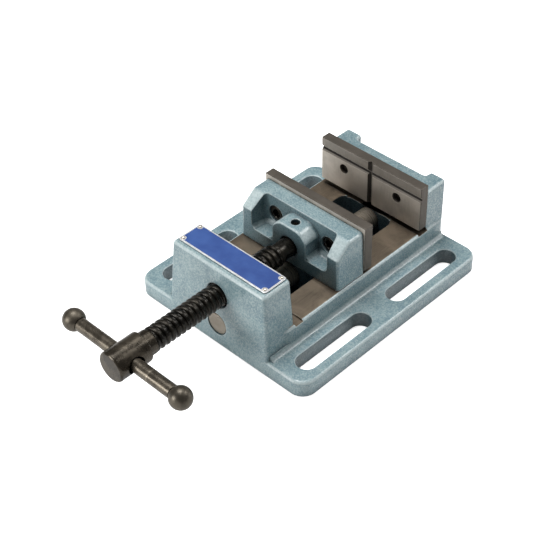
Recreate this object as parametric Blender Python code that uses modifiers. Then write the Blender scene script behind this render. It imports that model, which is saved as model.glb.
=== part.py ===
"""Drill-press machine vise with 3-inch jaws: a cast base, a sliding jaw and its lead screw.

Units are metres. X runs across the jaws, +Y from the handle towards the fixed jaw, +Z up.
The origin is the centre of the base's footprint, on its underside.
The model stands as it is used: the jaws are part open and the handle bar lies level.
"""

import math

import bmesh
import bpy
from mathutils import Matrix, Vector

# ---------------------------------------------------------------- driving dimensions

GAP = 0.0003                    # clearance between neighbouring pieces

# Jaw plates
PLATE_WIDTH = 0.0762
PLATE_THICKNESS = 0.00635
PLATE_HEIGHT = 0.0300
PLATE_TOP_Z = 0.0554
PLATE_EDGE_BREAK = 0.0004
PLATE_SCREW_SPACING = 0.0406
PLATE_SCREW_Z = 0.0406
JAW_OPENING = 0.0415            # between the clamping faces, as modelled
V_GROOVE_WIDTH = 0.0036
V_GROOVE_DEPTH = 0.0017
V_GROOVE_Z = 0.0480

# Base casting
BASE_LENGTH = 0.1500
BASE_WIDTH = 0.1308
FLANGE_THICKNESS = 0.0104
FLANGE_CORNER_R = 0.0090
FLANGE_EDGE_R = 0.0020
SLOT_LENGTH = 0.0560
SLOT_WIDTH = 0.0122
SLOT_SPACING_X = 0.1052
SLOT_SPACING_Y = 0.0740
BODY_WIDTH = 0.0778
BED_TOP_Z = 0.0231
BED_EDGE_R = 0.0018
BODY_REAR_MARGIN = 0.0015       # from the flange's rear edge to the body's rear
BODY_REAR_CORNER_R = 0.0040
FIXED_FACE_Y = 0.0514           # clamping face of the fixed jaw
CHANNEL_WIDTH = 0.0386
CHANNEL_FLOOR_Z = 0.0035
CHANNEL_CORNER_R = 0.0060
RELIEF_DEPTH = 0.0012
RELIEF_FRONT_LENGTH = 0.0053
RELIEF_REAR_LEAD = 0.0006       # how far the rear relief starts ahead of the clamping face
RELIEF_UNDERCUT = 0.0006        # how far each relief bites into the upright beside it

# Front block, which holds the nut thread
BLOCK_TOP_Z = 0.0531
BLOCK_TOP_WIDTH = 0.0700
BLOCK_TOP_LENGTH = 0.0205
BLOCK_FOOT_LENGTH = 0.0235
BLOCK_FOOT_Z = 0.0012           # the block's foot stops short of the underside
BLOCK_PROUD = 0.0004            # stands ahead of the flange's front edge
BLOCK_EDGE_R = 0.0022

# Fixed jaw wall and its two rear ribs
WALL_TOP_Z = 0.0502
WALL_WIDTH = 0.0754
WALL_THICKNESS = 0.0116
RIB_WIDTH = 0.0113
RIB_DEPTH = 0.0051
WALL_EDGE_R = 0.0020

# Movable jaw casting
JAW_TOP_Z = 0.0526
JAW_TOP_WIDTH = 0.0732
JAW_FOOT_WIDTH = 0.0750
JAW_LENGTH = 0.0208
JAW_EDGE_R = 0.0018
WING_KNEE_FROM_BACK = 0.0108    # where the top starts to slope down
WING_FRONT_Z = 0.0444
RECESS_DEPTH = 0.0111
RECESS_FLOOR_Z = 0.0326
RECESS_HALF_WIDTH = 0.0282
RECESS_FILLET_R = 0.0026
BOSS_HALF_WIDTH = 0.0131
BOSS_SHOULDER_Z = 0.0440
BOSS_PAD_HALF_WIDTH = 0.0070
BOSS_PAD_Z = 0.0487
BOSS_ARC_RISE = 0.0009
BOSS_EDGE_R = 0.0006
LUG_WIDTH = 0.0340
LUG_SETBACK = 0.0010
LUG_BOTTOM_Z = 0.0045
LUG_EDGE_R = 0.0015

# Lead screw and its bores
SCREW_Z = 0.0349
THREAD_LEAD = 0.0037
THREAD_CREST_R = 0.0070
THREAD_ROOT_R = 0.0056
THREAD_CREST_SHARE = 0.34       # of one lead
THREAD_ROOT_SHARE = 0.30        # of one lead
THREAD_LENGTH = 0.0945
THREAD_CHAMFER = 0.0014
THREAD_AHEAD_OF_JAW = 0.0095    # plain journal between the thread and the jaw boss
NECK_R = 0.0072
NECK_LENGTH = 0.0055
HEAD_R = 0.0090
HEAD_LENGTH = 0.0220
HEAD_EDGE_R = 0.0008
JOURNAL_R = 0.00575
JOURNAL_IN_JAW = 0.0180
JOURNAL_GROOVE_R = 0.0042
JOURNAL_GROOVE_WIDTH = 0.0044
NUT_MINOR_R = 0.00605
NUT_MOUTH_R = 0.0083
NUT_MOUTH_DEPTH = 0.0010
BOSS_MOUTH_R = 0.0070
BOSS_MOUTH_DEPTH = 0.0018
THREAD_SEGMENTS = 20

# Guide rod
ROD_R = 0.0069
ROD_Z = 0.0147
ROD_INSET = 0.0002              # end face behind the block's drafted front, on the rod's axis
ROD_LENGTH = 0.1400

# Handle
HANDLE_BAR_R = 0.0040
HANDLE_BALL_R = 0.0065
HANDLE_BALL_SPACING = 0.0830
HANDLE_BALL_FLAT = 0.0051       # from the ball's centre to its flat
HANDLE_TENON_R = 0.0025
HANDLE_TENON_LENGTH = 0.0050
HANDLE_FROM_HEAD_FRONT = 0.0106

# Screws
CAP_HEAD_R = 0.00475
CAP_HEAD_HEIGHT = 0.0050
CAP_SHANK_R = 0.00255
CAP_SOCKET_R = 0.0027
CAP_SOCKET_DEPTH = 0.0026
COUNTERBORE_R = 0.0054
COUNTERBORE_DEPTH = 0.0056
PLATE_HOLE_R = 0.00285
PLATE_GRIP = 0.0045             # how far a screw reaches into its plate
SET_SCREW_R = 0.00245
SET_SCREW_HOLE_R = 0.00275
SET_SCREW_SOCKET_R = 0.0014
SET_SCREW_SOCKET_DEPTH = 0.0020
DOG_R = 0.0016
PAD_SCREW_FROM_BACK = 0.01485    # from the jaw's back face
PAD_SCREW_RECESS = 0.0018
PAD_SCREW_LENGTH = 0.0045
ROD_SCREW_RECESS = 0.0015

# Name plate
NAME_PLATE_LENGTH = 0.0660
NAME_PLATE_WIDTH = 0.0166
NAME_PLATE_THICKNESS = 0.0006
NAME_PLATE_CORNER_R = 0.0012
NAME_PLATE_OFFSET = 0.0010      # from the block top's centre, towards the jaws
PIN_INSET = 0.0020
PIN_HEAD_R = 0.0011
PIN_HEAD_HEIGHT = 0.0007
PIN_SHANK_R = 0.0006
PIN_SHANK_LENGTH = 0.0040
PIN_CLEARANCE = 0.0002

# ---------------------------------------------------------------- places worked out

FRONT_Y = -BASE_LENGTH / 2
REAR_Y = BASE_LENGTH / 2
BLOCK_FRONT_Y = FRONT_Y - BLOCK_PROUD
BLOCK_BACK_Y = BLOCK_FRONT_Y + BLOCK_FOOT_LENGTH
BLOCK_TOP_FRONT_Y = BLOCK_BACK_Y - BLOCK_TOP_LENGTH
WALL_FRONT_Y = FIXED_FACE_Y + PLATE_THICKNESS + GAP
WALL_BACK_Y = WALL_FRONT_Y + WALL_THICKNESS
PLATE_BOTTOM_Z = PLATE_TOP_Z - PLATE_HEIGHT
MOVING_FACE_Y = FIXED_FACE_Y - JAW_OPENING
MOVING_PLATE_BACK_Y = MOVING_FACE_Y - PLATE_THICKNESS
JAW_BACK_Y = MOVING_PLATE_BACK_Y - GAP
JAW_FRONT_Y = JAW_BACK_Y - JAW_LENGTH
JAW_BOTTOM_Z = BED_TOP_Z + GAP
RECESS_BACK_Y = JAW_FRONT_Y + RECESS_DEPTH
PAD_SCREW_Y = JAW_BACK_Y - PAD_SCREW_FROM_BACK
THREAD_END_Y = JAW_FRONT_Y - THREAD_AHEAD_OF_JAW
THREAD_START_Y = THREAD_END_Y - THREAD_LENGTH
NECK_START_Y = THREAD_START_Y - NECK_LENGTH
HEAD_FRONT_Y = NECK_START_Y - HEAD_LENGTH
HANDLE_Y = HEAD_FRONT_Y + HANDLE_FROM_HEAD_FRONT
ROD_SCREW_Y = (BLOCK_FRONT_Y + BLOCK_BACK_Y) / 2


def block_front_y(height):
    """Where the front block's drafted front face is at a height."""
    share = (height - BLOCK_FOOT_Z) / (BLOCK_TOP_Z - BLOCK_FOOT_Z)
    return BLOCK_FRONT_Y + (BLOCK_TOP_FRONT_Y - BLOCK_FRONT_Y) * share


ROD_FRONT_Y = block_front_y(ROD_Z) + ROD_INSET

ALONG_Y = Matrix.Rotation(-math.pi / 2, 4, "X")     # turns local Z to world Y
ALONG_X = Matrix.Rotation(math.pi / 2, 4, "Y")      # turns local Z to world X

# ---------------------------------------------------------------- scene and collections


def clear_scene():
    """Remove every object that the file starts with."""
    for obj in list(bpy.data.objects):
        bpy.data.objects.remove(obj, do_unlink=True)


def new_collection(name):
    collection = bpy.data.collections.new(name)
    bpy.context.scene.collection.children.link(collection)
    return collection


clear_scene()
PARTS = new_collection("machine_vise")
CUTTERS = new_collection("vise_cutters")


def new_material(name, colour, roughness, metallic):
    material = bpy.data.materials.new(name)
    material.use_nodes = True
    shader = material.node_tree.nodes["Principled BSDF"]
    shader.inputs["Base Color"].default_value = (*colour, 1.0)
    shader.inputs["Roughness"].default_value = roughness
    shader.inputs["Metallic"].default_value = metallic
    return material


# Finish of each sub-part: colour, roughness, metallic
ENAMEL = ((0.33, 0.45, 0.50), 0.45, 0.0)
GROUND_STEEL = ((0.40, 0.36, 0.32), 0.35, 1.0)
BLACK_OXIDE = ((0.055, 0.050, 0.045), 0.38, 0.8)
BRIGHT_STEEL = ((0.62, 0.60, 0.57), 0.28, 1.0)
PLATE_BLUE = ((0.05, 0.12, 0.48), 0.35, 0.0)
PIN_METAL = ((0.80, 0.80, 0.78), 0.30, 1.0)

# ---------------------------------------------------------------- mesh helpers


def object_from_bmesh(name, bm):
    """Turn a bmesh into an object in the cutters' collection, which finish() may move."""
    bmesh.ops.recalc_face_normals(bm, faces=bm.faces)
    mesh = bpy.data.meshes.new(name)
    bm.to_mesh(mesh)
    bm.free()
    obj = bpy.data.objects.new(name, mesh)
    CUTTERS.objects.link(obj)
    obj.hide_render = True
    obj.display_type = "WIRE"
    return obj


def evaluated_copy(obj):
    """Return a mesh of the object as its modifiers leave it, and remove the object."""
    bpy.context.view_layer.update()
    depsgraph = bpy.context.evaluated_depsgraph_get()
    mesh = bpy.data.meshes.new_from_object(obj.evaluated_get(depsgraph))
    bpy.data.objects.remove(obj, do_unlink=True)
    return mesh


def finish(obj, material):
    """Move a finished shape to the parts' collection and give it its own material."""
    CUTTERS.objects.unlink(obj)
    PARTS.objects.link(obj)
    obj.hide_render = False
    obj.display_type = "TEXTURED"
    obj.data.materials.clear()
    obj.data.materials.append(new_material(obj.name + "_finish", *material))
    return obj


def box(name, low, high):
    """A box between two corners, from a unit cube."""
    low, high = Vector(low), Vector(high)
    bm = bmesh.new()
    bmesh.ops.create_cube(bm, size=1.0)
    bmesh.ops.scale(bm, vec=high - low, verts=bm.verts)
    bmesh.ops.translate(bm, vec=(low + high) / 2, verts=bm.verts)
    return object_from_bmesh(name, bm)


def drafted_box(name, foot_low, foot_high, top_low, top_high, bottom_z, top_z):
    """A cube whose top and bottom outlines differ, as a casting's draft makes them."""
    bm = bmesh.new()
    bmesh.ops.create_cube(bm, size=2.0)
    for vert in bm.verts:
        low, high = (top_low, top_high) if vert.co.z > 0 else (foot_low, foot_high)
        vert.co.x = high[0] if vert.co.x > 0 else low[0]
        vert.co.y = high[1] if vert.co.y > 0 else low[1]
        vert.co.z = top_z if vert.co.z > 0 else bottom_z
    return object_from_bmesh(name, bm)


def cylinder(name, radius, start, length, turn=None, segments=24, end_radius=None):
    """A cylinder or cone from a start point, along the local Z that `turn` gives."""
    bm = bmesh.new()
    bmesh.ops.create_cone(bm, cap_ends=True, segments=segments, radius1=radius,
                          radius2=radius if end_radius is None else end_radius, depth=length)
    bmesh.ops.translate(bm, vec=(0, 0, length / 2), verts=bm.verts)
    if turn is not None:
        bmesh.ops.transform(bm, matrix=turn, verts=bm.verts)
    bmesh.ops.translate(bm, vec=start, verts=bm.verts)
    return object_from_bmesh(name, bm)


def prism(name, outline, thickness, turn=None, start=(0, 0, 0)):
    """A flat outline given in XY, extruded up by its thickness, then turned and placed."""
    curve = bpy.data.curves.new(name, "CURVE")
    curve.dimensions = "2D"
    curve.fill_mode = "BOTH"
    curve.extrude = thickness / 2
    spline = curve.splines.new("POLY")
    spline.points.add(len(outline) - 1)
    for point, (x, y) in zip(spline.points, outline):
        point.co = (x, y, 0, 1)
    spline.use_cyclic_u = True
    curve_object = bpy.data.objects.new(name, curve)
    CUTTERS.objects.link(curve_object)
    mesh = evaluated_copy(curve_object)
    bm = bmesh.new()
    bm.from_mesh(mesh)
    bpy.data.meshes.remove(mesh)
    bmesh.ops.remove_doubles(bm, verts=bm.verts, dist=0.000001)
    bmesh.ops.dissolve_limit(bm, angle_limit=math.radians(1), verts=bm.verts, edges=bm.edges)
    bmesh.ops.translate(bm, vec=(0, 0, thickness / 2), verts=bm.verts)
    if turn is not None:
        bmesh.ops.transform(bm, matrix=turn, verts=bm.verts)
    bmesh.ops.translate(bm, vec=start, verts=bm.verts)
    return object_from_bmesh(name, bm)


def turned(name, profile, turn, start, segments=32):
    """A turned solid: a profile of (radius, height) from top to bottom, on the Z axis."""
    mesh = bpy.data.meshes.new(name)
    verts = [(radius, 0, height) for radius, height in profile]
    edges = [(index, index + 1) for index in range(len(verts) - 1)]
    mesh.from_pydata(verts, edges, [])
    obj = bpy.data.objects.new(name, mesh)
    CUTTERS.objects.link(obj)
    screw = obj.modifiers.new("turn", "SCREW")
    screw.axis = "Z"
    screw.steps = segments
    screw.render_steps = segments
    screw.use_merge_vertices = True
    screw.merge_threshold = 0.00001
    bm = bmesh.new()
    evaluated = evaluated_copy(obj)
    bm.from_mesh(evaluated)
    bpy.data.meshes.remove(evaluated)
    bmesh.ops.remove_doubles(bm, verts=bm.verts, dist=0.000001)
    bmesh.ops.transform(bm, matrix=Matrix.Translation(start) @ turn, verts=bm.verts)
    return object_from_bmesh(name, bm)


def round_edges(obj, radius, segments, chosen):
    """Bevel the edges that `chosen` accepts, in the mesh, and return the object."""
    bm = bmesh.new()
    bm.from_mesh(obj.data)
    edges = [edge for edge in bm.edges if edge.calc_face_angle(0) > math.radians(25) and chosen(edge)]
    bmesh.ops.bevel(bm, geom=edges, offset=radius, segments=segments, profile=0.5,
                    affect="EDGES", clamp_overlap=True)
    bm.to_mesh(obj.data)
    bm.free()
    return obj


def is_upright(edge):
    a, b = (vert.co for vert in edge.verts)
    return abs((a - b).normalized().z) > 0.8


def lies_above(height):
    """A test for edges whose both ends are above a height."""
    return lambda edge: all(vert.co.z > height for vert in edge.verts)


def shape_with(obj, tool, operation):
    """Join or cut a shape with another for good, and remove the other."""
    modifier = obj.modifiers.new(operation.lower(), "BOOLEAN")
    modifier.operation = operation
    modifier.object = tool
    modifier.solver = "EXACT"
    name = obj.name
    mesh = evaluated_copy(obj)
    bpy.data.objects.remove(tool, do_unlink=True)
    bm = bmesh.new()
    bm.from_mesh(mesh)
    bpy.data.meshes.remove(mesh)
    bmesh.ops.remove_doubles(bm, verts=bm.verts, dist=0.000002)
    bmesh.ops.dissolve_degenerate(bm, edges=bm.edges, dist=0.000002)
    return object_from_bmesh(name, bm)


def join(obj, *others):
    for other in others:
        obj = shape_with(obj, other, "UNION")
    return obj


def cut(obj, *cutters):
    for cutter in cutters:
        obj = shape_with(obj, cutter, "DIFFERENCE")
    return obj


def stadium(length, width, centre, segments=8):
    """The outline of a slot with round ends, its length along Y."""
    radius = width / 2
    half = length / 2 - radius
    points = []
    for end, first_angle in ((half, 0.0), (-half, math.pi)):
        for step in range(segments + 1):
            angle = first_angle + math.pi * step / segments
            points.append((centre[0] + radius * math.cos(angle), centre[1] + end + radius * math.sin(angle)))
    return points


def rest_on(child, axis_empty):
    """Parent a piece to an empty on its joint's axis, leaving it where it is."""
    child.parent = axis_empty
    child.matrix_parent_inverse = Matrix.Translation(-Vector(axis_empty.location))


def joint_empty(name, location, parent=None):
    empty = bpy.data.objects.new(name, None)
    empty.empty_display_size = 0.01
    empty.location = location
    PARTS.objects.link(empty)
    if parent is not None:
        rest_on(empty, parent)
    return empty


# ---------------------------------------------------------------- threads


def thread_form(crest_r, root_r, allowance):
    """One lead of the thread, as (radius, height) from top to bottom.

    A positive allowance widens the ridge on both flanks, as the nut's cutter needs.
    """
    crest = THREAD_LEAD * THREAD_CREST_SHARE + 2 * allowance
    root = THREAD_LEAD * THREAD_ROOT_SHARE - 2 * allowance
    flank = (THREAD_LEAD - crest - root) / 2
    heights = (0.0, -root, -root - flank, -root - flank - crest, -THREAD_LEAD)
    radii = (root_r, root_r, crest_r, crest_r, root_r)
    return list(zip(radii, heights))


def helix_solid(name, crest_r, root_r, allowance, start_y, end_y):
    """A right-hand threaded bar on the screw's axis, from before start_y to past end_y."""
    turns = math.ceil((end_y - start_y) / THREAD_LEAD) + 3
    mesh = bpy.data.meshes.new(name)
    form = thread_form(crest_r, root_r, allowance)
    mesh.from_pydata([(radius, 0, height) for radius, height in form],
                     [(index, index + 1) for index in range(len(form) - 1)], [])
    obj = bpy.data.objects.new(name, mesh)
    CUTTERS.objects.link(obj)
    screw = obj.modifiers.new("helix", "SCREW")
    screw.axis = "Z"
    screw.angle = math.tau
    screw.screw_offset = THREAD_LEAD
    screw.iterations = turns
    screw.steps = THREAD_SEGMENTS
    screw.render_steps = THREAD_SEGMENTS
    evaluated = evaluated_copy(obj)
    bm = bmesh.new()
    bm.from_mesh(evaluated)
    bpy.data.meshes.remove(evaluated)
    bmesh.ops.remove_doubles(bm, verts=bm.verts, dist=0.000005)
    close_with_fans(bm)
    # The middle of the root stays at one phase, whole leads from the thread's end, whatever the allowance
    whole_leads = THREAD_LEAD * (math.ceil((THREAD_END_Y - start_y) / THREAD_LEAD) + 1)
    root_middle = form[1][1] / 2
    shift = THREAD_END_Y - whole_leads - root_middle
    bmesh.ops.transform(bm, matrix=Matrix.Translation((0, shift, SCREW_Z)) @ ALONG_Y, verts=bm.verts)
    return object_from_bmesh(name, bm)


def close_with_fans(bm):
    """Close each open end of a helical surface with a fan from a point on the Z axis."""
    bm.edges.ensure_lookup_table()
    open_edges = {edge for edge in bm.edges if edge.is_boundary}
    while open_edges:
        loop = {open_edges.pop()}
        grew = True
        while grew:
            joined = {edge for edge in open_edges
                      if any(edge in vert.link_edges for known in loop for vert in known.verts)}
            grew = bool(joined)
            loop |= joined
            open_edges -= joined
        heights = [vert.co.z for edge in loop for vert in edge.verts]
        centre = bm.verts.new((0, 0, (min(heights) + max(heights)) / 2))
        for edge in loop:
            bm.faces.new((edge.verts[0], edge.verts[1], centre))


# ---------------------------------------------------------------- base casting


def rounded_slab(name, width, length, bottom_z, top_z, corner_r, edge_r):
    slab = box(name, (-width / 2, -length / 2, bottom_z), (width / 2, length / 2, top_z))
    round_edges(slab, corner_r, 5, is_upright)
    return round_edges(slab, edge_r, 2, lies_above((bottom_z + top_z) / 2))


def front_block():
    half_foot = BODY_WIDTH / 2
    half_top = BLOCK_TOP_WIDTH / 2
    block = drafted_box("front_block", (-half_foot, BLOCK_FRONT_Y), (half_foot, BLOCK_BACK_Y),
                        (-half_top, BLOCK_TOP_FRONT_Y), (half_top, BLOCK_BACK_Y),
                        BLOCK_FOOT_Z, BLOCK_TOP_Z)
    return round_edges(block, BLOCK_EDGE_R, 2, lambda edge: max(v.co.z for v in edge.verts) > BED_TOP_Z)


def fixed_wall():
    """The upright behind the fixed plate, with a rib at each end of its back."""
    half = WALL_WIDTH / 2
    inner = half - RIB_WIDTH
    back = WALL_BACK_Y
    rib_back = min(back + RIB_DEPTH, REAR_Y - GAP)
    outline = [(-half, WALL_FRONT_Y), (half, WALL_FRONT_Y), (half, rib_back), (inner, rib_back),
               (inner, back), (-inner, back), (-inner, rib_back), (-half, rib_back)]
    foot_z = FLANGE_THICKNESS / 2
    wall = prism("fixed_wall", outline, WALL_TOP_Z - foot_z, start=(0, 0, foot_z))
    return round_edges(wall, WALL_EDGE_R, 2,
                       lambda edge: max(v.co.z for v in edge.verts) > BED_TOP_Z
                       and max(v.co.y for v in edge.verts) > WALL_FRONT_Y + GAP)


def bed_body():
    half = BODY_WIDTH / 2
    rear = REAR_Y - BODY_REAR_MARGIN
    body = box("bed_body", (-half, BLOCK_BACK_Y - BLOCK_EDGE_R - GAP, FLANGE_THICKNESS / 2),
               (half, rear, BED_TOP_Z))
    round_edges(body, BODY_REAR_CORNER_R, 3, lambda edge: is_upright(edge) and edge.verts[0].co.y > 0)
    return round_edges(body, BED_EDGE_R, 2, lies_above(FLANGE_THICKNESS))


def channel_cutter():
    half = CHANNEL_WIDTH / 2
    channel = box("channel", (-half, BLOCK_BACK_Y - RELIEF_UNDERCUT / 2, CHANNEL_FLOOR_Z),
                  (half, FIXED_FACE_Y + RELIEF_UNDERCUT / 2, BED_TOP_Z + RELIEF_UNDERCUT / 2))
    return round_edges(channel, CHANNEL_CORNER_R, 3, is_upright)


def relief_cutters():
    """Shallow cross grooves that clear the grinding wheel at both ends of the bed."""
    reach = BODY_WIDTH
    bottom = BED_TOP_Z - RELIEF_DEPTH
    front = box("front_relief", (-reach, BLOCK_BACK_Y - RELIEF_UNDERCUT, bottom),
                (reach, BLOCK_BACK_Y + RELIEF_FRONT_LENGTH, BED_TOP_Z + RELIEF_UNDERCUT))
    rear = box("rear_relief", (-reach, FIXED_FACE_Y - RELIEF_REAR_LEAD, bottom),
               (reach, WALL_FRONT_Y + RELIEF_UNDERCUT, BED_TOP_Z + RELIEF_UNDERCUT))
    return front, rear


def slot_cutters():
    for x in (-SLOT_SPACING_X / 2, SLOT_SPACING_X / 2):
        for y in (-SLOT_SPACING_Y / 2, SLOT_SPACING_Y / 2):
            yield prism("slot", stadium(SLOT_LENGTH, SLOT_WIDTH, (x, y)), 2 * FLANGE_THICKNESS,
                        start=(0, 0, -FLANGE_THICKNESS / 2))


def nut_cutters():
    """The threaded bore through the front block, with a chamfer at each mouth."""
    front_y = block_front_y(SCREW_Z)
    thread = helix_solid("nut_thread", THREAD_CREST_R + GAP, NUT_MINOR_R, GAP, front_y - THREAD_LEAD,
                         BLOCK_BACK_Y + THREAD_LEAD)
    outside = THREAD_LEAD / 2
    slope = (NUT_MOUTH_R - NUT_MINOR_R) / NUT_MOUTH_DEPTH
    wide_r = NUT_MOUTH_R + slope * outside
    length = outside + NUT_MOUTH_DEPTH
    front = cylinder("front_mouth", wide_r, (0, front_y - outside, SCREW_Z), length, ALONG_Y,
                     end_radius=NUT_MINOR_R)
    back = cylinder("back_mouth", NUT_MINOR_R, (0, BLOCK_BACK_Y - NUT_MOUTH_DEPTH, SCREW_Z), length,
                    ALONG_Y, end_radius=wide_r)
    return thread, front, back


def bore_along_y(name, radius, x, z, one_y, other_y, segments=24):
    """A round cutter along Y between two places, given in either order."""
    low, high = sorted((one_y, other_y))
    return cylinder(name, radius, (x, low, z), high - low, ALONG_Y, segments=segments)


def plate_screw_holes(face_y, seat_y, outer_y):
    """For each plate screw, a hole from the plate's side to the seat and a counterbore from there out."""
    outward = math.copysign(GAP, outer_y - seat_y)
    for x in (-PLATE_SCREW_SPACING / 2, PLATE_SCREW_SPACING / 2):
        yield bore_along_y("clearance_hole", PLATE_HOLE_R, x, PLATE_SCREW_Z, face_y - outward,
                           seat_y + outward, segments=16)
        yield bore_along_y("counterbore", COUNTERBORE_R, x, PLATE_SCREW_Z, seat_y, outer_y)


def pin_places():
    """Centres of the four name plate pins, clockwise from the near left."""
    half_x = NAME_PLATE_LENGTH / 2 - PIN_INSET
    half_y = NAME_PLATE_WIDTH / 2 - PIN_INSET
    centre_y = (BLOCK_TOP_FRONT_Y + BLOCK_BACK_Y) / 2 + NAME_PLATE_OFFSET
    for x, y in ((-half_x, -half_y), (-half_x, half_y), (half_x, half_y), (half_x, -half_y)):
        yield x, centre_y + y


def pin_holes(radius, bottom_z, top_z):
    for x, y in pin_places():
        yield cylinder("pin_hole", radius, (x, y, bottom_z), top_z - bottom_z, segments=10)


def rod_hole(name, start_y, end_y):
    return cylinder(name, ROD_R + GAP, (0, start_y, ROD_Z), end_y - start_y, ALONG_Y, segments=32)


def base_casting():
    base = rounded_slab("base_casting", BASE_WIDTH, BASE_LENGTH, 0.0, FLANGE_THICKNESS,
                        FLANGE_CORNER_R, FLANGE_EDGE_R)
    base = join(base, bed_body(), front_block(), fixed_wall())
    base = cut(base, channel_cutter(), *relief_cutters(), *slot_cutters(), *nut_cutters())
    base = cut(base, rod_hole("rod_bore", 2 * FRONT_Y, ROD_FRONT_Y + ROD_LENGTH + GAP))
    base = cut(base, *plate_screw_holes(WALL_FRONT_Y, WALL_BACK_Y - COUNTERBORE_DEPTH, 2 * REAR_Y))
    pin_bottom = BLOCK_TOP_Z - PIN_SHANK_LENGTH
    base = cut(base, *pin_holes(PIN_SHANK_R + GAP, pin_bottom, 2 * BLOCK_TOP_Z))
    base = cut(base, cylinder("rod_screw_hole", SET_SCREW_HOLE_R, (0, ROD_SCREW_Y, -ROD_Z),
                              2 * ROD_Z, segments=16))
    return finish(base, ENAMEL)


# ---------------------------------------------------------------- movable jaw


def jaw_blank():
    """The jaw's outer form: flat top, then slopes down to the front, with side draft."""
    knee_y = JAW_BACK_Y - WING_KNEE_FROM_BACK
    side = [(JAW_BACK_Y, JAW_BOTTOM_Z), (JAW_BACK_Y, JAW_TOP_Z), (knee_y, JAW_TOP_Z),
            (JAW_FRONT_Y, WING_FRONT_Z), (JAW_FRONT_Y, JAW_BOTTOM_Z)]
    # The outline's own X and Y become the world's Y and Z
    to_side = Matrix(((0, 0, 1, 0), (1, 0, 0, 0), (0, 1, 0, 0), (0, 0, 0, 1)))
    blank = prism("movable_jaw", side, JAW_FOOT_WIDTH, turn=to_side, start=(-JAW_FOOT_WIDTH / 2, 0, 0))
    height = JAW_TOP_Z - JAW_BOTTOM_Z
    for vert in blank.data.vertices:
        share = (vert.co.z - JAW_BOTTOM_Z) / height
        half = (JAW_FOOT_WIDTH + (JAW_TOP_WIDTH - JAW_FOOT_WIDTH) * share) / 2
        vert.co.x = math.copysign(half, vert.co.x)
    return round_edges(blank, JAW_EDGE_R, 2, lambda edge: max(v.co.z for v in edge.verts) > BED_TOP_Z + 0.001
                       and min(v.co.y for v in edge.verts) < JAW_BACK_Y - GAP)


def front_recess():
    """The pocket in the jaw's front, open at the top and the front, with a filleted floor."""
    recess = box("front_recess", (-RECESS_HALF_WIDTH, JAW_FRONT_Y - RECESS_DEPTH, RECESS_FLOOR_Z),
                 (RECESS_HALF_WIDTH, RECESS_BACK_Y, 2 * JAW_TOP_Z))
    return round_edges(recess, RECESS_FILLET_R, 3,
                       lambda edge: min(v.co.z for v in edge.verts) < RECESS_FLOOR_Z + GAP
                       and max(v.co.y for v in edge.verts) > JAW_FRONT_Y)


def boss():
    """The arched boss over the screw, in the middle of the pocket, with a flat pad on top."""
    bow = []
    for step in range(1, 6):
        share = step / 6
        lift = BOSS_ARC_RISE * math.sin(math.pi * share)
        bow.append((BOSS_HALF_WIDTH + (BOSS_PAD_HALF_WIDTH - BOSS_HALF_WIDTH) * share + lift,
                    BOSS_SHOULDER_Z + (BOSS_PAD_Z - BOSS_SHOULDER_Z) * share + lift))
    foot_z = RECESS_FLOOR_Z - RECESS_FILLET_R
    right = [(BOSS_HALF_WIDTH, foot_z), (BOSS_HALF_WIDTH, BOSS_SHOULDER_Z)] + bow
    right.append((BOSS_PAD_HALF_WIDTH, BOSS_PAD_Z))
    left = [(-x, z) for x, z in reversed(right)]
    # The outline's own X and Y become the world's X and Z, and its depth runs towards -Y
    to_front = Matrix(((1, 0, 0, 0), (0, 0, -1, 0), (0, 1, 0, 0), (0, 0, 0, 1)))
    back_y = RECESS_BACK_Y + RECESS_FILLET_R / 2
    body = prism("boss", right + left, back_y - JAW_FRONT_Y, turn=to_front, start=(0, back_y, 0))
    return round_edges(body, BOSS_EDGE_R, 1,
                       lambda edge: max(v.co.y for v in edge.verts) < JAW_FRONT_Y + GAP
                       and min(v.co.z for v in edge.verts) > foot_z + GAP)


def lug():
    """The foot under the jaw that runs in the base's channel, on the guide rod."""
    half = LUG_WIDTH / 2
    foot = box("lug", (-half, JAW_FRONT_Y + LUG_SETBACK, LUG_BOTTOM_Z),
               (half, JAW_BACK_Y - LUG_SETBACK, JAW_BOTTOM_Z + JAW_EDGE_R))
    return round_edges(foot, LUG_EDGE_R, 1, lambda edge: min(v.co.z for v in edge.verts) < BED_TOP_Z - 0.002)


def movable_jaw():
    jaw = cut(join(jaw_blank(), lug()), front_recess())
    jaw = join(jaw, boss())
    bore_end = JAW_FRONT_Y + JOURNAL_IN_JAW + GAP
    jaw = cut(jaw, cylinder("spindle_bore", JOURNAL_R + GAP, (0, JAW_FRONT_Y - LUG_SETBACK, SCREW_Z),
                            bore_end - JAW_FRONT_Y + LUG_SETBACK, ALONG_Y),
              cylinder("spindle_mouth", BOSS_MOUTH_R, (0, JAW_FRONT_Y - BOSS_MOUTH_DEPTH, SCREW_Z),
                       2 * BOSS_MOUTH_DEPTH, ALONG_Y),
              rod_hole("lug_bore", JAW_FRONT_Y - LUG_SETBACK, JAW_BACK_Y + LUG_SETBACK),
              cylinder("pad_hole", SET_SCREW_HOLE_R, (0, PAD_SCREW_Y, SCREW_Z), SCREW_Z, segments=16))
    jaw = cut(jaw, *plate_screw_holes(JAW_BACK_Y, RECESS_BACK_Y + COUNTERBORE_DEPTH,
                                      JAW_FRONT_Y - LUG_SETBACK))
    return finish(jaw, ENAMEL)


# ---------------------------------------------------------------- jaw plates


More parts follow.
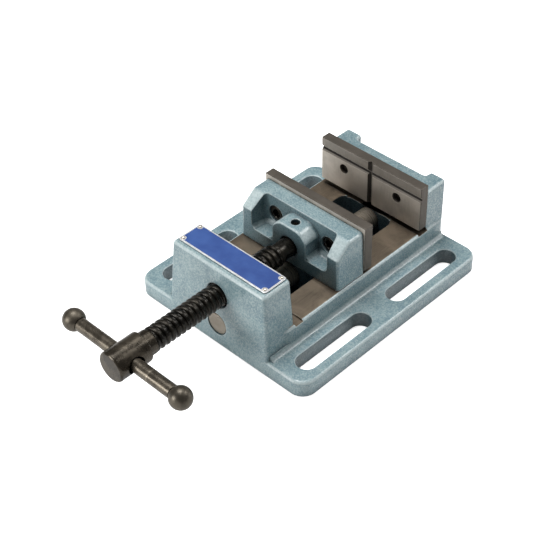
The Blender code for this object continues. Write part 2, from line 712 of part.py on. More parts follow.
def jaw_plate(name, face_y, back_y):
    half = PLATE_WIDTH / 2
    low, high = sorted((face_y, back_y))
    plate = box(name, (-half, low, PLATE_BOTTOM_Z), (half, high, PLATE_TOP_Z))
    round_edges(plate, PLATE_EDGE_BREAK, 1, lambda edge: True)
    holes = [cylinder("tapped_hole", PLATE_HOLE_R, (x, low - GAP, PLATE_SCREW_Z),
                      PLATE_THICKNESS + 2 * GAP, ALONG_Y, segments=16)
             for x in (-PLATE_SCREW_SPACING / 2, PLATE_SCREW_SPACING / 2)]
    return cut(plate, *holes)


def v_groove_cutters():
    """A level and an upright V-groove for round work, in the fixed plate's face."""
    reach = 3 * V_GROOVE_DEPTH
    slope = V_GROOVE_WIDTH / 2 / V_GROOVE_DEPTH
    wide = slope * (V_GROOVE_DEPTH + reach)
    triangle = [(-wide, -reach), (wide, -reach), (0, V_GROOVE_DEPTH)]
    # The triangle's own X and Y become the world's X and Y, and it stands along Z
    upright = prism("upright_groove", triangle, 2 * PLATE_TOP_Z, start=(0, FIXED_FACE_Y, 0))
    # The triangle's own X and Y become the world's Z and Y, and it lies along X
    to_level = Matrix(((0, 0, -1, 0), (0, 1, 0, 0), (1, 0, 0, 0), (0, 0, 0, 1)))
    level = prism("level_groove", triangle, 2 * PLATE_WIDTH, turn=to_level,
                  start=(PLATE_WIDTH, FIXED_FACE_Y, V_GROOVE_Z))
    return upright, level


def fixed_jaw_plate():
    plate = jaw_plate("fixed_jaw_plate", FIXED_FACE_Y, FIXED_FACE_Y + PLATE_THICKNESS)
    return finish(cut(plate, *v_groove_cutters()), GROUND_STEEL)


def movable_jaw_plate():
    return finish(jaw_plate("movable_jaw_plate", MOVING_FACE_Y, MOVING_PLATE_BACK_Y), GROUND_STEEL)


# ---------------------------------------------------------------- lead screw


def lead_screw():
    """Head, neck, thread and grooved journal, turned from one bar."""
    total = JAW_FRONT_Y + JOURNAL_IN_JAW - HEAD_FRONT_Y
    thread_end = THREAD_END_Y - HEAD_FRONT_Y
    core_r = THREAD_ROOT_R - THREAD_CHAMFER
    groove = PAD_SCREW_Y - HEAD_FRONT_Y
    groove_half = JOURNAL_GROOVE_WIDTH / 2
    profile = [(0, total), (JOURNAL_R - HEAD_EDGE_R, total), (JOURNAL_R, total - HEAD_EDGE_R),
               (JOURNAL_R, groove + groove_half), (JOURNAL_GROOVE_R, groove + groove_half),
               (JOURNAL_GROOVE_R, groove - groove_half), (JOURNAL_R, groove - groove_half),
               (JOURNAL_R, thread_end - THREAD_CHAMFER), (core_r, thread_end - THREAD_CHAMFER),
               (core_r, HEAD_LENGTH + NECK_LENGTH), (NECK_R, HEAD_LENGTH + NECK_LENGTH),
               (NECK_R, HEAD_LENGTH), (HEAD_R - HEAD_EDGE_R, HEAD_LENGTH),
               (HEAD_R, HEAD_LENGTH - HEAD_EDGE_R), (HEAD_R, HEAD_EDGE_R), (HEAD_R - HEAD_EDGE_R, 0), (0, 0)]
    bar = turned("lead_screw", profile, ALONG_Y, (0, HEAD_FRONT_Y, SCREW_Z))
    helix = helix_solid("thread", THREAD_CREST_R, THREAD_ROOT_R, 0.0,
                        THREAD_START_Y - THREAD_LEAD, THREAD_END_Y + THREAD_LEAD)
    inside_neck = NECK_LENGTH / 2
    full = THREAD_LENGTH + inside_neck
    outer_r = THREAD_CREST_R + GAP
    inner_r = JOURNAL_R - HEAD_EDGE_R
    stock = [(0, full), (inner_r, full), (outer_r, full - outer_r + inner_r), (outer_r, 0), (0, 0)]
    envelope = turned("thread_stock", stock, ALONG_Y, (0, THREAD_START_Y - inside_neck, SCREW_Z))
    thread = shape_with(helix, envelope, "INTERSECT")
    screw = join(bar, thread)
    screw = cut(screw, cylinder("cross_hole", HANDLE_BAR_R + GAP, (-2 * HEAD_R, HANDLE_Y, SCREW_Z),
                                4 * HEAD_R, ALONG_X))
    screw.name = "lead_screw"
    return finish(screw, BLACK_OXIDE)


# ---------------------------------------------------------------- guide rod and handle


def guide_rod():
    edge = 2 * GAP
    profile = [(0, ROD_LENGTH), (ROD_R - edge, ROD_LENGTH), (ROD_R, ROD_LENGTH - edge), (ROD_R, edge),
               (ROD_R - edge, 0), (0, 0)]
    return finish(turned("guide_rod", profile, ALONG_Y, (0, ROD_FRONT_Y, ROD_Z)), BRIGHT_STEEL)


def handle_bar():
    shoulder = HANDLE_BALL_SPACING / 2 - HANDLE_BALL_FLAT - GAP
    tip = shoulder + HANDLE_TENON_LENGTH
    upper = [(0, tip), (HANDLE_TENON_R, tip), (HANDLE_TENON_R, shoulder), (HANDLE_BAR_R, shoulder)]
    profile = upper + [(radius, -height) for radius, height in reversed(upper)]
    return finish(turned("handle_bar", profile, ALONG_X, (0, HANDLE_Y, SCREW_Z), segments=24), BLACK_OXIDE)


def handle_ball(name, side):
    """A ball whose flat faces the bar, with a blind hole for the bar's tenon."""
    flat_angle = math.acos(HANDLE_BALL_FLAT / HANDLE_BALL_R)
    steps = 10
    arc = [(HANDLE_BALL_R * math.sin(angle), HANDLE_BALL_R * math.cos(angle))
           for angle in (index * (math.pi - flat_angle) / steps for index in range(steps + 1))]
    arc[0] = (0, HANDLE_BALL_R)
    hole_r = HANDLE_TENON_R + GAP
    hole_top = HANDLE_TENON_LENGTH + GAP - HANDLE_BALL_FLAT
    profile = arc + [(hole_r, -HANDLE_BALL_FLAT), (hole_r, hole_top), (0, hole_top)]
    turn = ALONG_X if side > 0 else Matrix.Rotation(-math.pi / 2, 4, "Y")
    place = (side * HANDLE_BALL_SPACING / 2, HANDLE_Y, SCREW_Z)
    return finish(turned(name, profile, turn, place, segments=24), BLACK_OXIDE)


# ---------------------------------------------------------------- screws


def hexagon_cutter(name, radius, start, depth, turn):
    return cylinder(name, radius, start, depth, turn, segments=6)


def cap_screw(name, x, seat_y, outward):
    """A socket cap screw along Y: its head on the seat, its shank in the jaw plate."""
    towards_head = ALONG_Y if outward > 0 else Matrix.Rotation(math.pi / 2, 4, "X")
    wall = abs((WALL_FRONT_Y if outward > 0 else JAW_BACK_Y) - seat_y)
    shank = wall + GAP + PLATE_GRIP
    head_low = GAP
    head_top = head_low + CAP_HEAD_HEIGHT
    edge = 2 * GAP
    profile = [(0, head_top), (CAP_HEAD_R - edge, head_top), (CAP_HEAD_R, head_top - edge),
               (CAP_HEAD_R, head_low), (CAP_SHANK_R, head_low), (CAP_SHANK_R, -shank), (0, -shank)]
    place = (x, seat_y, PLATE_SCREW_Z)
    screw = turned(name, profile, towards_head, place, segments=20)
    socket_start = Vector(place) + Vector((0, outward * (head_top - CAP_SOCKET_DEPTH), 0))
    screw = cut(screw, hexagon_cutter("socket", CAP_SOCKET_R, socket_start, 2 * CAP_SOCKET_DEPTH,
                                      towards_head))
    return finish(screw, BLACK_OXIDE)


def plate_screws():
    seats = (("fixed_plate_screw", WALL_BACK_Y - COUNTERBORE_DEPTH, 1),
             ("movable_plate_screw", RECESS_BACK_Y + COUNTERBORE_DEPTH, -1))
    for name, seat_y, outward in seats:
        for side, x in (("left", -PLATE_SCREW_SPACING / 2), ("right", PLATE_SCREW_SPACING / 2)):
            yield cap_screw(f"{name}_{side}", x, seat_y, outward)


def spindle_retaining_screw():
    """A dog-point set screw in the jaw's pad, its tip in the journal's groove."""
    top = BOSS_PAD_Z - PAD_SCREW_RECESS
    shoulder = top - PAD_SCREW_LENGTH
    tip = SCREW_Z + JOURNAL_GROOVE_R + GAP
    profile = [(0, top), (SET_SCREW_R, top), (SET_SCREW_R, shoulder), (DOG_R, shoulder), (DOG_R, tip), (0, tip)]
    screw = turned("spindle_retaining_screw", profile, Matrix.Identity(4), (0, PAD_SCREW_Y, 0), segments=16)
    socket = hexagon_cutter("socket", SET_SCREW_SOCKET_R, (0, PAD_SCREW_Y, top - SET_SCREW_SOCKET_DEPTH),
                            2 * SET_SCREW_SOCKET_DEPTH, None)
    return finish(cut(screw, socket), BLACK_OXIDE)


def guide_rod_set_screw():
    """A cup-point set screw that holds the guide rod from below."""
    bottom = ROD_SCREW_RECESS
    top = ROD_Z - ROD_R - GAP
    screw = cylinder("guide_rod_set_screw", SET_SCREW_R, (0, ROD_SCREW_Y, bottom), top - bottom, segments=16)
    socket = hexagon_cutter("socket", SET_SCREW_SOCKET_R,
                            (0, ROD_SCREW_Y, bottom - SET_SCREW_SOCKET_DEPTH), 2 * SET_SCREW_SOCKET_DEPTH, None)
    return finish(cut(screw, socket), BLACK_OXIDE)


# ---------------------------------------------------------------- name plate


def name_plate():
    centre_y = (BLOCK_TOP_FRONT_Y + BLOCK_BACK_Y) / 2 + NAME_PLATE_OFFSET
    half_x, half_y = NAME_PLATE_LENGTH / 2, NAME_PLATE_WIDTH / 2
    bottom = BLOCK_TOP_Z + GAP
    plate = box("name_plate", (-half_x, centre_y - half_y, bottom),
                (half_x, centre_y + half_y, bottom + NAME_PLATE_THICKNESS))
    round_edges(plate, NAME_PLATE_CORNER_R, 2, is_upright)
    plate = cut(plate, *pin_holes(PIN_SHANK_R + PIN_CLEARANCE, 0.0, 2 * BLOCK_TOP_Z))
    return finish(plate, PLATE_BLUE)


def name_plate_pins():
    top_of_plate = BLOCK_TOP_Z + GAP + NAME_PLATE_THICKNESS
    under_head = top_of_plate + PIN_CLEARANCE
    for number, (x, y) in enumerate(pin_places(), start=1):
        dome = [(PIN_HEAD_R * math.sin(angle), under_head + PIN_HEAD_HEIGHT * math.cos(angle))
                for angle in (0.0, math.pi / 6, math.pi / 3, math.pi / 2)]
        dome[0] = (0, under_head + PIN_HEAD_HEIGHT)
        bottom = BLOCK_TOP_Z - PIN_SHANK_LENGTH + GAP
        profile = dome + [(PIN_SHANK_R, under_head), (PIN_SHANK_R, bottom), (0, bottom)]
        yield finish(turned(f"name_plate_pin_{number}", profile, Matrix.Identity(4), (x, y, 0), segments=12),
                     PIN_METAL)


# ---------------------------------------------------------------- assembly


def shade(obj):
    obj.data.shade_smooth()
    obj.data.set_sharp_from_angle(angle=math.radians(30))


def build_vise():
    """Build every piece and hang each moving one on its joint's axis."""
    fixed = [base_casting(), fixed_jaw_plate(), guide_rod(), guide_rod_set_screw(), name_plate(),
             *name_plate_pins()]
    screws = list(plate_screws())
    fixed += [screw for screw in screws if screw.name.startswith("fixed")]
    sliding = [movable_jaw(), movable_jaw_plate(), spindle_retaining_screw()]
    sliding += [screw for screw in screws if screw.name.startswith("movable")]
    turning = [lead_screw()]
    handle = [handle_bar(), handle_ball("handle_ball_left", -1), handle_ball("handle_ball_right", 1)]

    jaw_axis = joint_empty("jaw_slide_axis", (0, JAW_BACK_Y, ROD_Z))
    screw_axis = joint_empty("screw_turn_axis", (0, JAW_FRONT_Y, SCREW_Z), jaw_axis)
    handle_axis = joint_empty("handle_slide_axis", (0, HANDLE_Y, SCREW_Z), screw_axis)
    for axis, pieces in ((jaw_axis, sliding), (screw_axis, turning), (handle_axis, handle)):
        for piece in pieces:
            rest_on(piece, axis)
    for piece in fixed + sliding + turning + handle:
        shade(piece)


build_vise()
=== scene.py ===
"""Looks of a drill-press machine vise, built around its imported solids.

Each sub-assembly is a class that holds its own sizes, builds its meshes in metres in the part's
frame, and dresses them in procedural finishes.
"""

import logging
import math
from dataclasses import dataclass
from enum import Enum
from typing import Callable, Iterable, Sequence

import bmesh
import bpy
from mathutils import Matrix, Vector


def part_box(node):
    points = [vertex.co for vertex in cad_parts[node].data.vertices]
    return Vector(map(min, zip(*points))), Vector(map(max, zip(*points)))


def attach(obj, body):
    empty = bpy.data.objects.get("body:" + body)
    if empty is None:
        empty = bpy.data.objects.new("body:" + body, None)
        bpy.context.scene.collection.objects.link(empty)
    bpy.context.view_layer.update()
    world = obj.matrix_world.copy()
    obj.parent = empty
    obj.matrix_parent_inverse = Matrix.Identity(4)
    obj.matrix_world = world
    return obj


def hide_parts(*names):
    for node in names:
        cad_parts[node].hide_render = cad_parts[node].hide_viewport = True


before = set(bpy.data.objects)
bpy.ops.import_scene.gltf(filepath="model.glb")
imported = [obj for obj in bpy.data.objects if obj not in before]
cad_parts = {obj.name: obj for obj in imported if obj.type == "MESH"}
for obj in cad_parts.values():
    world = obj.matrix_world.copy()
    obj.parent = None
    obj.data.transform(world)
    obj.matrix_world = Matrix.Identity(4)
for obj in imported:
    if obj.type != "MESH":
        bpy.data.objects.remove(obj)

LOG = logging.getLogger("machine_vise")
GAP = 0.0003
SAME_POINT = 0.0000005
WELD = 0.000002
ALONG_X = (1, 0, 0)
ALONG_Y = (0, 1, 0)

Point2 = tuple[float, float]
Level = tuple[float, float]
Colour = tuple[float, float, float]


class Body(Enum):
    """The rigid bodies that pieces ride on."""

    BASE = "base"
    JAW = "jaw"
    SCREW = "screw"
    HANDLE = "handle"


class Facing(Enum):
    """Which way a flat outline is built up, as a matrix from outline space to the part's frame."""

    UP = Matrix.Identity(4)
    ALONG_X = Matrix(((0, 0, 1, 0), (1, 0, 0, 0), (0, 1, 0, 0), (0, 0, 0, 1)))
    ALONG_Y = Matrix(((1, 0, 0, 0), (0, 0, 1, 0), (0, -1, 0, 0), (0, 0, 0, 1)))


# ---------------------------------------------------------------- shapes


def new_object(name: str, mesh: bpy.types.Mesh) -> bpy.types.Object:
    """Link a mesh into the scene as an object at the origin."""
    obj = bpy.data.objects.new(name, mesh)
    bpy.context.scene.collection.objects.link(obj)
    return obj


def from_bmesh(name: str, bm: bmesh.types.BMesh) -> bpy.types.Object:
    """Close a bmesh into an object, with its faces pointing outwards."""
    bmesh.ops.recalc_face_normals(bm, faces=bm.faces)
    mesh = bpy.data.meshes.new(name)
    bm.to_mesh(mesh)
    bm.free()
    return new_object(name, mesh)


def settle(obj: bpy.types.Object) -> bpy.types.Object:
    """Replace an object by a plain mesh of what its modifiers make.

    Args:
        obj: the object, which is removed.

    Returns:
        A new object with the same name and no modifiers.
    """
    bpy.context.view_layer.update()
    depsgraph = bpy.context.evaluated_depsgraph_get()
    mesh = bpy.data.meshes.new_from_object(obj.evaluated_get(depsgraph))
    name = obj.name
    bpy.data.objects.remove(obj, do_unlink=True)
    mesh.name = name
    return new_object(name, mesh)


def inset_corners(corners: Sequence[Point2], amount: float) -> list[Point2]:
    """Move every side of a polygon inwards.

    Args:
        corners: the polygon, counterclockwise.
        amount: how far inwards; negative moves the sides outwards.

    Returns:
        The moved corners, in the same order.
    """
    moved = []
    for index, corner in enumerate(corners):
        here = Vector(corner)
        before = (here - Vector(corners[index - 1])).normalized()
        after = (Vector(corners[(index + 1) % len(corners)]) - here).normalized()
        normal_a = Vector((-before.y, before.x))
        normal_b = Vector((-after.y, after.x))
        spread = 1.0 + normal_a.dot(normal_b)
        shift = (normal_a + normal_b) * (amount / max(spread, 0.05))
        moved.append(tuple(here + shift))
    return moved


def rounded_outline(corners: Sequence[Point2], radii: Sequence[float], amount: float,
                    steps: int) -> list[Point2]:
    """Inset a polygon and round its corners, always with the same number of points.

    Args:
        corners: the polygon, counterclockwise.
        radii: one corner radius each, before the inset.
        amount: the inset.
        steps: segments of each corner's arc.

    Returns:
        The outline's points, counterclockwise.
    """
    moved = inset_corners(corners, amount)
    points = []
    for index, corner in enumerate(moved):
        here = Vector(corner)
        back = Vector(moved[index - 1]) - here
        ahead = Vector(moved[(index + 1) % len(moved)]) - here
        convex = back.normalized().cross(ahead.normalized()) < 0
        radius = max(radii[index] - amount if convex else radii[index] + amount, 0.00001)
        half = back.angle(ahead) / 2
        reach = min(radius / math.tan(half), 0.498 * back.length, 0.498 * ahead.length)
        radius = reach * math.tan(half)
        centre = here + (back.normalized() + ahead.normalized()).normalized() * (radius / math.sin(half))
        first = here + back.normalized() * reach - centre
        last = here + ahead.normalized() * reach - centre
        sweep = first.angle_signed(last)
        for step in range(steps + 1):
            angle = -sweep * step / steps
            spoke = Vector((first.x * math.cos(angle) - first.y * math.sin(angle),
                            first.x * math.sin(angle) + first.y * math.cos(angle)))
            points.append(tuple(centre + spoke))
    return points


def eased(low: float, high: float, low_r: float, high_r: float, steps: int = 4) -> list[Level]:
    """Levels of a block whose bottom and top edges are rounded.

    Args:
        low: height of the bottom.
        high: height of the top.
        low_r: bottom edge radius; negative flares outwards.
        high_r: top edge radius; negative flares outwards.
        steps: segments of each rounding.

    Returns:
        (height, inset) pairs from the bottom up.
    """
    levels = []
    for height, radius, sign in ((low, low_r, 1), (high, high_r, -1)):
        arc = [(height, 0.0)]
        if radius:
            angles = [math.pi / 2 * step / steps for step in range(steps + 1)]
            arc = [(height + sign * abs(radius) * (1 - math.cos(angle)), radius * (1 - math.sin(angle)))
                   for angle in angles]
        levels += arc if sign > 0 else arc[::-1]
    return levels


def skin_loops(bm: bmesh.types.BMesh, loops: Sequence[Sequence[bmesh.types.BMVert]]) -> None:
    """Close a stack of equal loops into a solid, with a face at each end."""
    count = len(loops[0])
    for lower, upper in zip(loops, loops[1:]):
        for index in range(count):
            after = (index + 1) % count
            bm.faces.new((lower[index], lower[after], upper[after], upper[index]))
    bm.faces.new(list(reversed(loops[0])))
    bm.faces.new(loops[-1])


def hollow_arc(side: float, floor: float, radius: float, steps: int = 6) -> list[Point2]:
    """The arc of a hollow fillet, from a floor up to a wall.

    Args:
        side: where the wall stands.
        floor: the floor's height.
        radius: the fillet's radius.
        steps: segments of the arc.

    Returns:
        (across, height) points.
    """
    angles = [math.pi / 2 * step / steps for step in range(steps + 1)]
    return [(side + radius - radius * math.sin(angle), floor + radius - radius * math.cos(angle))
            for angle in angles]


def slab(name: str, corners: Sequence[Point2], radii: Sequence[float], levels: Sequence[Level],
         facing: Facing = Facing.UP, steps: int = 6) -> bpy.types.Object:
    """Build a closed solid from one rounded outline at several heights.

    Args:
        name: the object's name.
        corners: the outline's polygon, counterclockwise.
        radii: one corner radius each.
        levels: (height, inset) pairs from the bottom up.
        facing: the direction that the heights run in.
        steps: segments of each corner.

    Returns:
        The solid.
    """
    bm = bmesh.new()
    loops = []
    for height, amount in levels:
        outline = rounded_outline(corners, radii, amount, steps)
        loops.append([bm.verts.new((x, y, height)) for x, y in outline])
    skin_loops(bm, loops)
    bmesh.ops.transform(bm, matrix=facing.value, verts=bm.verts)
    bmesh.ops.remove_doubles(bm, verts=bm.verts, dist=SAME_POINT)
    return from_bmesh(name, bm)


def oblong(low: Point2, high: Point2) -> list[Point2]:
    """The four corners of an upright rectangle, counterclockwise."""
    return [(low[0], low[1]), (high[0], low[1]), (high[0], high[1]), (low[0], high[1])]


def block(name: str, low: Sequence[float], high: Sequence[float], corner_r: float = 0.0,
          low_r: float = 0.0, high_r: float = 0.0, steps: int = 5) -> bpy.types.Object:
    """A block between two corners, with rounded upright corners and eased ends."""
    corners = oblong((low[0], low[1]), (high[0], high[1]))
    return slab(name, corners, [corner_r] * 4, eased(low[2], high[2], low_r, high_r), steps=steps)


def lathe(name: str, profile: Sequence[Point2], start: Sequence[float], along: Sequence[float],
          segments: int = 72) -> bpy.types.Object:
    """Turn a closed solid from a profile.

    Args:
        name: the object's name.
        profile: (radius, distance along the axis) pairs; it starts and ends at radius 0.
        start: the point on the axis where distances count from.
        along: the axis's direction.
        segments: steps round the axis.

    Returns:
        The solid.
    """
    bm = bmesh.new()
    rings = []
    for radius, distance in profile:
        if radius <= 0:
            rings.append([bm.verts.new((0, 0, distance))])
            continue
        ring = []
        for index in range(segments):
            angle = math.tau * index / segments
            ring.append(bm.verts.new((radius * math.cos(angle), radius * math.sin(angle), distance)))
        rings.append(ring)
    for lower, upper in zip(rings, rings[1:]):
        for index in range(segments):
            after = (index + 1) % segments
            if len(lower) == 1 and len(upper) == 1:
                continue
            if len(lower) == 1:
                bm.faces.new((lower[0], upper[after], upper[index]))
            elif len(upper) == 1:
                bm.faces.new((lower[index], lower[after], upper[0]))
            else:
                bm.faces.new((lower[index], lower[after], upper[after], upper[index]))
    turn = Vector((0, 0, 1)).rotation_difference(Vector(along)).to_matrix().to_4x4()
    bmesh.ops.transform(bm, matrix=Matrix.Translation(start) @ turn, verts=bm.verts)
    return from_bmesh(name, bm)


def rod(name: str, radius: float, start: Sequence[float], along: Sequence[float], length: float,
        segments: int = 48) -> bpy.types.Object:
    """A plain round cutter."""
    return lathe(name, [(0, 0), (radius, 0), (radius, length), (0, length)], start, along, segments)


def combine(obj: bpy.types.Object, tool: bpy.types.Object, operation: str) -> bpy.types.Object:
    """Join or cut one closed mesh with another, and remove the tool.

    Args:
        obj: the mesh that is kept.
        tool: the mesh that is added or taken away.
        operation: UNION, DIFFERENCE or INTERSECT.

    Returns:
        The combined mesh.
    """
    modifier = obj.modifiers.new("combine", "BOOLEAN")
    modifier.operation = operation
    modifier.solver = "EXACT"
    modifier.object = tool
    settled = settle(obj)
    bpy.data.objects.remove(tool, do_unlink=True)
    bm = bmesh.new()
    bm.from_mesh(settled.data)
    bmesh.ops.remove_doubles(bm, verts=bm.verts, dist=WELD)
    bmesh.ops.dissolve_degenerate(bm, edges=bm.edges, dist=WELD)
    bm.to_mesh(settled.data)
    bm.free()
    return settled


def join(obj: bpy.types.Object, tools: Iterable[bpy.types.Object]) -> bpy.types.Object:
    """Add closed meshes to one, in turn."""
    for tool in tools:
        obj = combine(obj, tool, "UNION")
    return obj


def cut(obj: bpy.types.Object, tools: Iterable[bpy.types.Object]) -> bpy.types.Object:
    """Take closed meshes away from one, in turn."""
    for tool in tools:
        obj = combine(obj, tool, "DIFFERENCE")
    return obj


def smooth(obj: bpy.types.Object, angle: float = 32.0) -> bpy.types.Object:
    """Shade an object smooth up to an angle, with large faces kept flat, and settle it."""
    obj.data.shade_smooth()
    obj.data.set_sharp_from_angle(angle=math.radians(angle))
    modifier = obj.modifiers.new("face_weights", "WEIGHTED_NORMAL")
    modifier.keep_sharp = True
    modifier.weight = 80
    return settle(obj)


def dress(obj: bpy.types.Object, materials: Sequence[bpy.types.Material],
          pick: Callable[[bpy.types.MeshPolygon], int] | None = None) -> bpy.types.Object:
    """Give a mesh its materials.

    Args:
        obj: the piece.
        materials: one for each slot.
        pick: gives a face's slot; every face takes the first without it.

    Returns:
        The piece.
    """
    obj.data.materials.clear()
    for material in materials:
        obj.data.materials.append(material)
    for face in obj.data.polygons:
        face.material_index = pick(face) if pick else 0
    return obj


def place(obj: bpy.types.Object, body: Body, nodes: Sequence[str]) -> bpy.types.Object:
    """Put a finished piece on its body, in place of the solids that it stands for.

    Args:
        obj: the piece.
        body: the body it moves with.
        nodes: the solids it replaces.

    Returns:
        The piece.
    """
    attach(obj, body.value)
    if nodes:
        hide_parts(*nodes)
    LOG.info("%s: %d faces on %s", obj.name, len(obj.data.polygons), body.value)
    return obj


# ---------------------------------------------------------------- node sketches


class Sketch:
    """A short way to add nodes and sums to one node tree."""

    def __init__(self, tree: bpy.types.NodeTree) -> None:
        """Keep the tree, and a column to lay nodes out in."""
        self.tree = tree
        self.column = 0

    def add(self, kind: str, **settings: object) -> bpy.types.Node:
        """Add a node of a kind, with some of its properties set."""
        node = self.tree.nodes.new(kind)
        node.location = (self.column * 180, 0)
        self.column += 1
        for key, value in settings.items():
            setattr(node, key, value)
        return node

    def feed(self, socket: bpy.types.NodeSocket, value: object) -> None:
        """Link a socket to another, or set its own value."""
        if isinstance(value, bpy.types.NodeSocket):
            self.tree.links.new(value, socket)
        elif value is not None:
            socket.default_value = value

    def sum(self, operation: str, a: object, b: object = None, c: object = None,
            clamp: bool = False) -> bpy.types.NodeSocket:
        """Work out one Math node, and return its value."""
        node = self.add("ShaderNodeMath", operation=operation, use_clamp=clamp)
        for socket, value in zip(node.inputs, (a, b, c)):
            self.feed(socket, value)
        return node.outputs[0]

    def spread(self, value: object, low: object, high: object, to_low: object = 0.0,
               to_high: object = 1.0) -> bpy.types.NodeSocket:
        """Map a value's range to another, clamped, with eased ends."""
        node = self.add("ShaderNodeMapRange", interpolation_type="SMOOTHSTEP")
        for name, item in (("Value", value), ("From Min", low), ("From Max", high), ("To Min", to_low),
                           ("To Max", to_high)):
            self.feed(node.inputs[name], item)
        return node.outputs["Result"]

    def blend(self, share: object, a: object, b: object) -> bpy.types.NodeSocket:
        """Mix two colours."""
        node = self.add("ShaderNodeMix", data_type="RGBA", blend_type="MIX")
        self.feed(node.inputs["Factor"], share)
        colours = [socket for socket in node.inputs if socket.type == "RGBA"]
        for socket, value in zip(colours, (a, b)):
            self.feed(socket, (*value, 1.0) if isinstance(value, tuple) else value)
        return next(socket for socket in node.outputs if socket.type == "RGBA")

    def noise(self, vector: object, scale: object, detail: float = 3.0, rough: float = 0.55,
              twist: float = 0.0) -> bpy.types.NodeSocket:
        """A noise texture's value."""
        node = self.add("ShaderNodeTexNoise")
        for name, value in (("Vector", vector), ("Scale", scale), ("Detail", detail),
                            ("Roughness", rough), ("Distortion", twist)):
            self.feed(node.inputs[name], value)
        return node.outputs["Fac"]


def group_tree(name: str, kind: str, inputs: Sequence[tuple], outputs: Sequence[tuple]) -> bpy.types.NodeTree:
    """Start a node group with named inputs and outputs.

    Args:
        name: the group's name.
        kind: ShaderNodeTree or GeometryNodeTree.
        inputs: (name, socket type, default or None) for each input.
        outputs: (name, socket type) for each output.

    Returns:
        The group, with no nodes yet.
    """
    tree = bpy.data.node_groups.new(name, kind)
    for label, socket_type, default in inputs:
        socket = tree.interface.new_socket(name=label, in_out="INPUT", socket_type=socket_type)
        if default is not None:
            socket.default_value = default
    for label, socket_type in outputs:
        tree.interface.new_socket(name=label, in_out="OUTPUT", socket_type=socket_type)
    return tree


FLOAT = "NodeSocketFloat"
WHOLE = "NodeSocketInt"
VECTOR = "NodeSocketVector"
GEOMETRY = "NodeSocketGeometry"


# ---------------------------------------------------------------- shader groups


def wear_and_highlight_group() -> bpy.types.NodeTree:
    """Worn outer edges: a mask that breaks up along them, a painted highlight on faces that slope upwards,
    and a normal that rounds them.

    Returns:
        The group.
    """
    tree = group_tree("EdgeWear", "ShaderNodeTree",
                      [("Radius", FLOAT, 0.0006), ("Low", FLOAT, 0.05), ("High", FLOAT, 0.35),
                       ("Breakup Scale", FLOAT, 600.0), ("Breakup", FLOAT, 0.5)],
                      [("Mask", FLOAT), ("Rim", FLOAT), ("Normal", VECTOR)])
    s = Sketch(tree)
    given = s.add("NodeGroupInput").outputs
    coordinates = s.add("ShaderNodeTexCoord").outputs
    place_on = coordinates["Object"]
    bevel = s.add("ShaderNodeBevel", samples=6)
    s.feed(bevel.inputs["Radius"], given["Radius"])
    true_normal = s.add("ShaderNodeNewGeometry").outputs["Normal"]
    dot = s.add("ShaderNodeVectorMath", operation="DOT_PRODUCT")
    s.feed(dot.inputs[0], bevel.outputs["Normal"])
    s.feed(dot.inputs[1], true_normal)
    bend = s.sum("SUBTRACT", 1.0, dot.outputs["Value"])
    edge = s.spread(bend, given["Low"], given["High"])
    hollow = s.add("ShaderNodeAmbientOcclusion", samples=4)
    hollow.inputs["Distance"].default_value = 0.0025
    open_air = s.spread(hollow.outputs["AO"], 0.80, 0.97)
    broken = s.spread(s.noise(place_on, given["Breakup Scale"], 4.0, 0.6), 0.35, 0.65)
    kept = s.sum("SUBTRACT", 1.0, s.sum("MULTIPLY", given["Breakup"], s.sum("SUBTRACT", 1.0, broken)))
    mask = s.sum("MULTIPLY", s.sum("MULTIPLY", edge, open_air), kept, clamp=True)
    # Painted highlight: faces that slope upwards, with object normal z between about 0.15 and 0.98, are
    # marked to be lightened as if lit from above.
    facing = s.add("ShaderNodeSeparateXYZ")
    s.feed(facing.inputs[0], coordinates["Normal"])
    rising = s.spread(facing.outputs["Z"], 0.15, 0.50)
    level = s.spread(facing.outputs["Z"], 0.98, 0.80)
    rim = s.sum("MULTIPLY", s.sum("MULTIPLY", rising, level), s.sum("MULTIPLY", open_air, kept), clamp=True)
    out = s.add("NodeGroupOutput")
    s.feed(out.inputs["Mask"], mask)
    s.feed(out.inputs["Rim"], rim)
    s.feed(out.inputs["Normal"], bevel.outputs["Normal"])
    return tree


def cast_skin_group() -> bpy.types.NodeTree:
    """The pebbled skin of enamel over a sand casting: a height and a mottle of tone.

    Returns:
        The group.
    """
    tree = group_tree("CastSkin", "ShaderNodeTree",
                      [("Grain Scale", FLOAT, 900.0), ("Swell Scale", FLOAT, 120.0),
                       ("Swell", FLOAT, 0.5)],
                      [("Height", FLOAT), ("Mottle", FLOAT), ("Clouds", FLOAT), ("Specks", FLOAT)])
    s = Sketch(tree)
    given = s.add("NodeGroupInput").outputs
    where = s.add("ShaderNodeTexCoord").outputs["Object"]
    grain = s.noise(where, given["Grain Scale"], 3.0, 0.6, 0.4)
    swell = s.noise(where, given["Swell Scale"], 3.0, 0.5)
    height = s.sum("ADD", grain, s.sum("MULTIPLY", swell, given["Swell"]))
    mottle = s.spread(s.noise(where, s.sum("MULTIPLY", given["Grain Scale"], 0.85), 2.0, 0.65), 0.30, 0.70)
    broad = s.noise(where, s.sum("MULTIPLY", given["Swell Scale"], 0.55), 2.0, 0.5, 0.8)
    clouds = s.spread(broad, 0.30, 0.72)
    fine = s.noise(where, s.sum("MULTIPLY", given["Grain Scale"], 0.70), 3.0, 0.72)
    patches = s.noise(where, s.sum("MULTIPLY", given["Swell Scale"], 0.8), 2.0, 0.5)
    specks = s.spread(s.sum("ADD", fine, s.sum("MULTIPLY", patches, 0.20)), 0.59, 0.70)
    out = s.add("NodeGroupOutput")
    s.feed(out.inputs["Specks"], specks)
    s.feed(out.inputs["Height"], height)
    s.feed(out.inputs["Mottle"], mottle)
    s.feed(out.inputs["Clouds"], clouds)
    return tree


